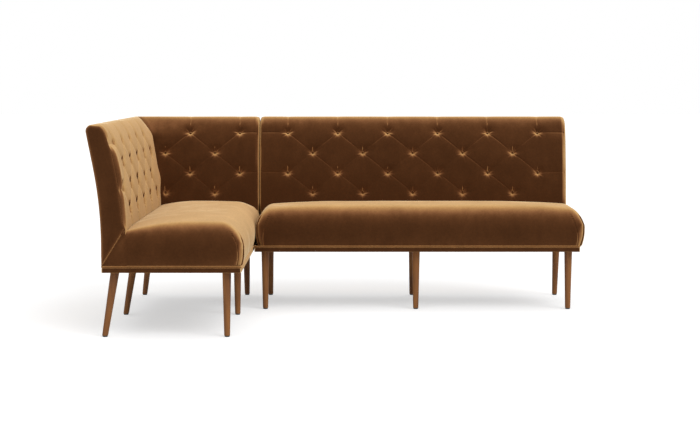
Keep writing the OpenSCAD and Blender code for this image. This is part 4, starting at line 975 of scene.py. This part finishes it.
def border(end):
    """The seat's border from the seat to the diagonal seam under an end panel."""
    x = np.linspace(0, end.width * SQUEEZE, 200)
    tucked_z = FULL_Z + CROWN_H * (1 - SEAM_LOSS) * side_share(x, end.width, end.fall, 1.0)
    turn = np.linspace(0, math.pi / 2, 20)[1:]
    rounded = FULL_Z + (tucked_z[-1] - FULL_Z) * np.sin(turn)
    z = np.concatenate([np.linspace(SEAT_LOW, FULL_Z, 18), rounded])[:, None]
    k = np.clip((FULL_Z - z) / (FULL_Z - SEAT_LOW), 0, 1)
    seat_out = end.bulge - DRAW_IN * k * k - np.interp(z, tucked_z, x)
    seam_d = np.interp(z, [SEAT_LOW, KNEE_Z, SEAM_Z], [TOE_D, KNEE_D, TUCK_D - 4.0])
    u = np.linspace(0, 1, BORDER_POINTS)[None, :]
    away = smoothstep(u)
    out = seat_out * (1 - away) + end.out_at_seam * away
    d = TUCK_D + (seam_d - TUCK_D) * u
    sheet = np.stack([end.base_a + end.sign * out, d, z + 0 * u], -1)
    return closed_end(end, sheet, end.base_a - end.sign * (end.width * SQUEEZE + BORDER_UNDER))


def seam_cord(end):
    """Cord along the diagonal seam, from the toe to the knee."""
    line = even_points([TOE_D, SEAT_LOW + 1.0], [KNEE_D, KNEE_Z], 40)
    a = np.full(len(line), end.face_a - end.sign * CORD_IN)
    return tube(end.place(np.column_stack([a, line])), CORD_R)


for unit, ends in (("bench", (BENCH_LEFT, BENCH_RIGHT)), ("corner", (REAR_END, SIDE_END))):
    panels, borders, cords = (joined([make(end) for end in ends]) for make in (panel, border, seam_cord))
    new_piece(f"{unit}_end_panel_velvet", *panels, VELVET, "velvet",
              replaces=[f"{unit}_end_panels"], sharp=60)
    new_piece(f"{unit}_seat_border_velvet", *borders, VELVET, "velvet",
              replaces=[f"{unit}_seat_gussets"], sharp=60)
    new_piece(f"{unit}_seam_cords", *cords, WELT_PAINTED_SHEEN, "welt")


# Outside backs
OUTSIDE_IN, OUTSIDE_STEP, OUTSIDE_T = 6.0, 14.0, 4.5
TAUT_IN, SLACK, SLACK_SIZE = 1.2, 0.8, 420.0


def outside(name, place, first, last, mitre, cad):
    """A taut cloth panel down the rear of a back, turned in at its edges. A mitre is its first edge."""
    heights = np.arange(SEAT_LOW + 4, FLAP_Z - 6, OUTSIDE_STEP)
    fold_r = 4.0
    share = np.linspace(0, 1, int((last - (BACK_T if mitre else first)) / OUTSIDE_STEP))
    rows = []
    for q in [SEAT_LOW + 0.5, *heights, FLAP_Z - 4, FLAP_Z - 0.6]:
        start = -float(lean(q)) if mitre else first
        a = start + share * (last - start)
        edge = np.minimum(min(q - SEAT_LOW, FLAP_Z - q), last - a)
        if not mitre:
            edge = np.minimum(edge, a - first)
        near = 1 - np.clip(edge / fold_r, 0, 1)
        turned_in = fold_r * (1 - np.sqrt(1 - near**2))
        body = np.clip(edge / 60, 0, 1)
        pull = body * (SLACK * wave(a, 0 * a + q, 0 * a, 21 + len(name), SLACK_SIZE) - TAUT_IN)
        d = -float(lean(q)) + turned_in * 0.9 + 0.3 + pull
        rows.append(np.stack([np.maximum(a, d) if mitre else a, d, np.full(len(share), q)], 1))
    front = np.array(rows)
    back = front.copy()
    back[..., 1] += OUTSIDE_T
    if mitre:
        front[:, 0, 0] = front[:, 0, 1]
        back[:, 0, 0] = back[:, 0, 1]
    points, faces = closed_sheet(front, back[:, 0], back[:, -1], back[0], back[-1])
    new_piece(name, place(points), faces, VELVET, "velvet", replaces=[cad], sharp=70)


BENCH_FIRST, BENCH_LAST = PRESSED_BACK_IN + OUTSIDE_IN, BENCH_W - BENCH_BACK_IN - OUTSIDE_IN
SIDE_LAST, REAR_LAST = CORNER_L - CORNER_BACK_IN - OUTSIDE_IN, FRAME_D - CORNER_BACK_IN - OUTSIDE_IN
outside("bench_outside_velvet", at_bench, BENCH_FIRST, BENCH_LAST, False, "bench_outside_back")
outside("side_wing_outside_velvet", at_side, 0, SIDE_LAST, True, "side_wing_outside")
outside("rear_wing_outside_velvet", at_corner, 0, REAR_LAST, True, "rear_wing_outside")


# Wrapped bases
def base(name, place, w, l, cad):
    """Cloth wrapped over the edge of the base and turned under it, as one ring with softened edges."""
    r, corner_r, under_w, over_w, cloth_t = 2.6, 7.0, 85.0, 60.0, 0.9
    arc = np.linspace(0, math.pi / 2, 6)
    profile = [(under_w, LEG_H + 0.1)]
    profile += [(r - r * math.sin(t), LEG_H + r - r * math.cos(t)) for t in arc]
    profile += [(r - r * math.cos(t), BASE_TOP - r + r * math.sin(t)) for t in arc]
    profile += [(over_w, BASE_TOP), (over_w, BASE_TOP - cloth_t), (r + 1, BASE_TOP - cloth_t)]
    profile += [(r + 1, LEG_H + cloth_t), (under_w, LEG_H + cloth_t)]
    loop = []
    for ca, cd, start in ((w - corner_r, l - corner_r, 0), (corner_r, l - corner_r, 90),
                          (corner_r, corner_r, 180), (w - corner_r, corner_r, 270)):
        for t in np.radians(start + np.linspace(0, 90, 8)):
            loop.append((ca, cd, math.cos(t), math.sin(t)))
    points = []
    for ca, cd, na, nd in loop:
        for inset, z in profile:
            if inset <= corner_r:
                points.append((ca + (corner_r - inset) * na, cd + (corner_r - inset) * nd, z))
            else:
                points.append((min(max(ca, inset), w - inset), min(max(cd, inset), l - inset), z))
    m, n = len(profile), len(loop)
    faces = []
    for i in range(n):
        k = (i + 1) % n
        for j in range(m):
            q = (j + 1) % m
            faces.append([i * m + j, i * m + q, k * m + q, k * m + j])
    new_piece(name, place(np.array(points)), faces, VELVET, "velvet", replaces=[cad], sharp=50)


base("bench_base_velvet", at_bench, BENCH_W, FRAME_D, "bench_base_cover")
base("corner_base_velvet", at_corner, FRAME_D, CORNER_L, "corner_base_cover")


# Finishes of the CAD pieces, by the ends of their names
FINISHES = [
    (("_welt",), WELT_PAINTED_SHEEN), (("_dust_cover",), DUST), (("glides",), GLIDE), (("_webs",), WEBBING),
    (("_foam",), FOAM), (("_boards", "_rails", "_posts", "_blocks"), FRAME_WOOD),
    (("_bolts", "_inserts", "_screws", "_plates"), STEEL),
]


def finish_of(name):
    for endings, finish in FINISHES:
        if name.endswith(endings):
            return finish
    return LEG_WOOD if name.startswith("leg_") else VELVET


for name, obj in frame["nodes"].items():
    obj.data.materials.clear()
    obj.data.materials.append(finish_of(name))


# Floor, light and camera
def seen_rays(tree):
    """1 for what the camera sees straight, in a gloss or through glass."""
    path = tree.nodes.new("ShaderNodeLightPath")
    mirrored = maths(tree, "MAXIMUM", path.outputs["Is Glossy Ray"], path.outputs["Is Transmission Ray"])
    return maths(tree, "MAXIMUM", path.outputs["Is Camera Ray"], mirrored)


def shown(tree, lit, seen, output):
    """Gives the seen rays one shader, and the light on the object another."""
    mix = tree.nodes.new("ShaderNodeMixShader")
    for i, socket in enumerate((seen_rays(tree), lit.outputs[0], seen.outputs[0])):
        tree.links.new(socket, mix.inputs[i])
    tree.links.new(mix.outputs[0], tree.nodes.new(output).inputs[0])


FLOOR_GREY, FLOOR_GLOW, FLOOR_REACH, WORLD_LIGHT = 0.62, 0.48, 40.0, 0.45


def floor():
    """A pale floor that shows white to the camera and keeps the object's shadow."""
    mesh = bpy.data.meshes.new("floor")
    corners = [(x * FLOOR_REACH, y * FLOOR_REACH, 0) for x, y in ((-1, -1), (1, -1), (1, 1), (-1, 1))]
    mesh.from_pydata(corners, [], [[0, 1, 2, 3]])
    m = bpy.data.materials.new("floor_white")
    tree = empty_tree(m)
    diffuse = tree.nodes.new("ShaderNodeBsdfDiffuse")
    diffuse.inputs["Color"].default_value = (FLOOR_GREY, FLOOR_GREY, FLOOR_GREY, 1)
    glow = tree.nodes.new("ShaderNodeEmission")
    glow.inputs["Strength"].default_value = FLOOR_GLOW
    add = tree.nodes.new("ShaderNodeAddShader")
    tree.links.new(diffuse.outputs[0], add.inputs[0])
    tree.links.new(glow.outputs[0], add.inputs[1])
    shown(tree, diffuse, add, "ShaderNodeOutputMaterial")
    mesh.materials.append(m)
    obj = bpy.data.objects.new("floor", mesh)
    scene.collection.objects.link(obj)


def world():
    """An even studio light, white where the camera sees it."""
    w = bpy.data.worlds.new("studio")
    scene.world = w
    tree = empty_tree(w)
    fill, seen = (tree.nodes.new("ShaderNodeBackground") for _ in range(2))
    for background, strength in ((fill, WORLD_LIGHT), (seen, 1.0)):
        background.inputs["Color"].default_value = (1, 1, 1, 1)
        background.inputs["Strength"].default_value = strength
    shown(tree, fill, seen, "ShaderNodeOutputWorld")


def lamp(name, towards, strength, spread_degrees):
    """A broad soft light that falls evenly from a direction."""
    data = bpy.data.lights.new(name, "SUN")
    data.energy = strength
    data.angle = math.radians(spread_degrees)
    obj = bpy.data.objects.new(name, data)
    scene.collection.objects.link(obj)
    obj.location = Vector(towards)
    obj.rotation_euler = (-Vector(towards)).to_track_quat("-Z", "Y").to_euler()


floor()
world()
lamp("key_light", (3.0, -3.4, 4.0), 1.6, 40)
lamp("top_light", (0.2, 0.8, 4.6), 0.9, 60)
lamp("fill_light", (-1.6, -5.0, 3.4), 0.6, 60)

CAMERA_TILT = math.pi / 2 - 0.0859
camera_data = bpy.data.cameras.new("camera")
camera_data.lens = 86.27
camera_data.sensor_width = 36.0
camera_data.shift_x = -0.0026
camera = bpy.data.objects.new("camera", camera_data)
camera.location = (0.00483, -7.66503, 1.09)
camera.rotation_euler = (CAMERA_TILT, 0, 0)
scene.collection.objects.link(camera)
scene.camera = camera
scene.view_settings.view_transform = "Standard"
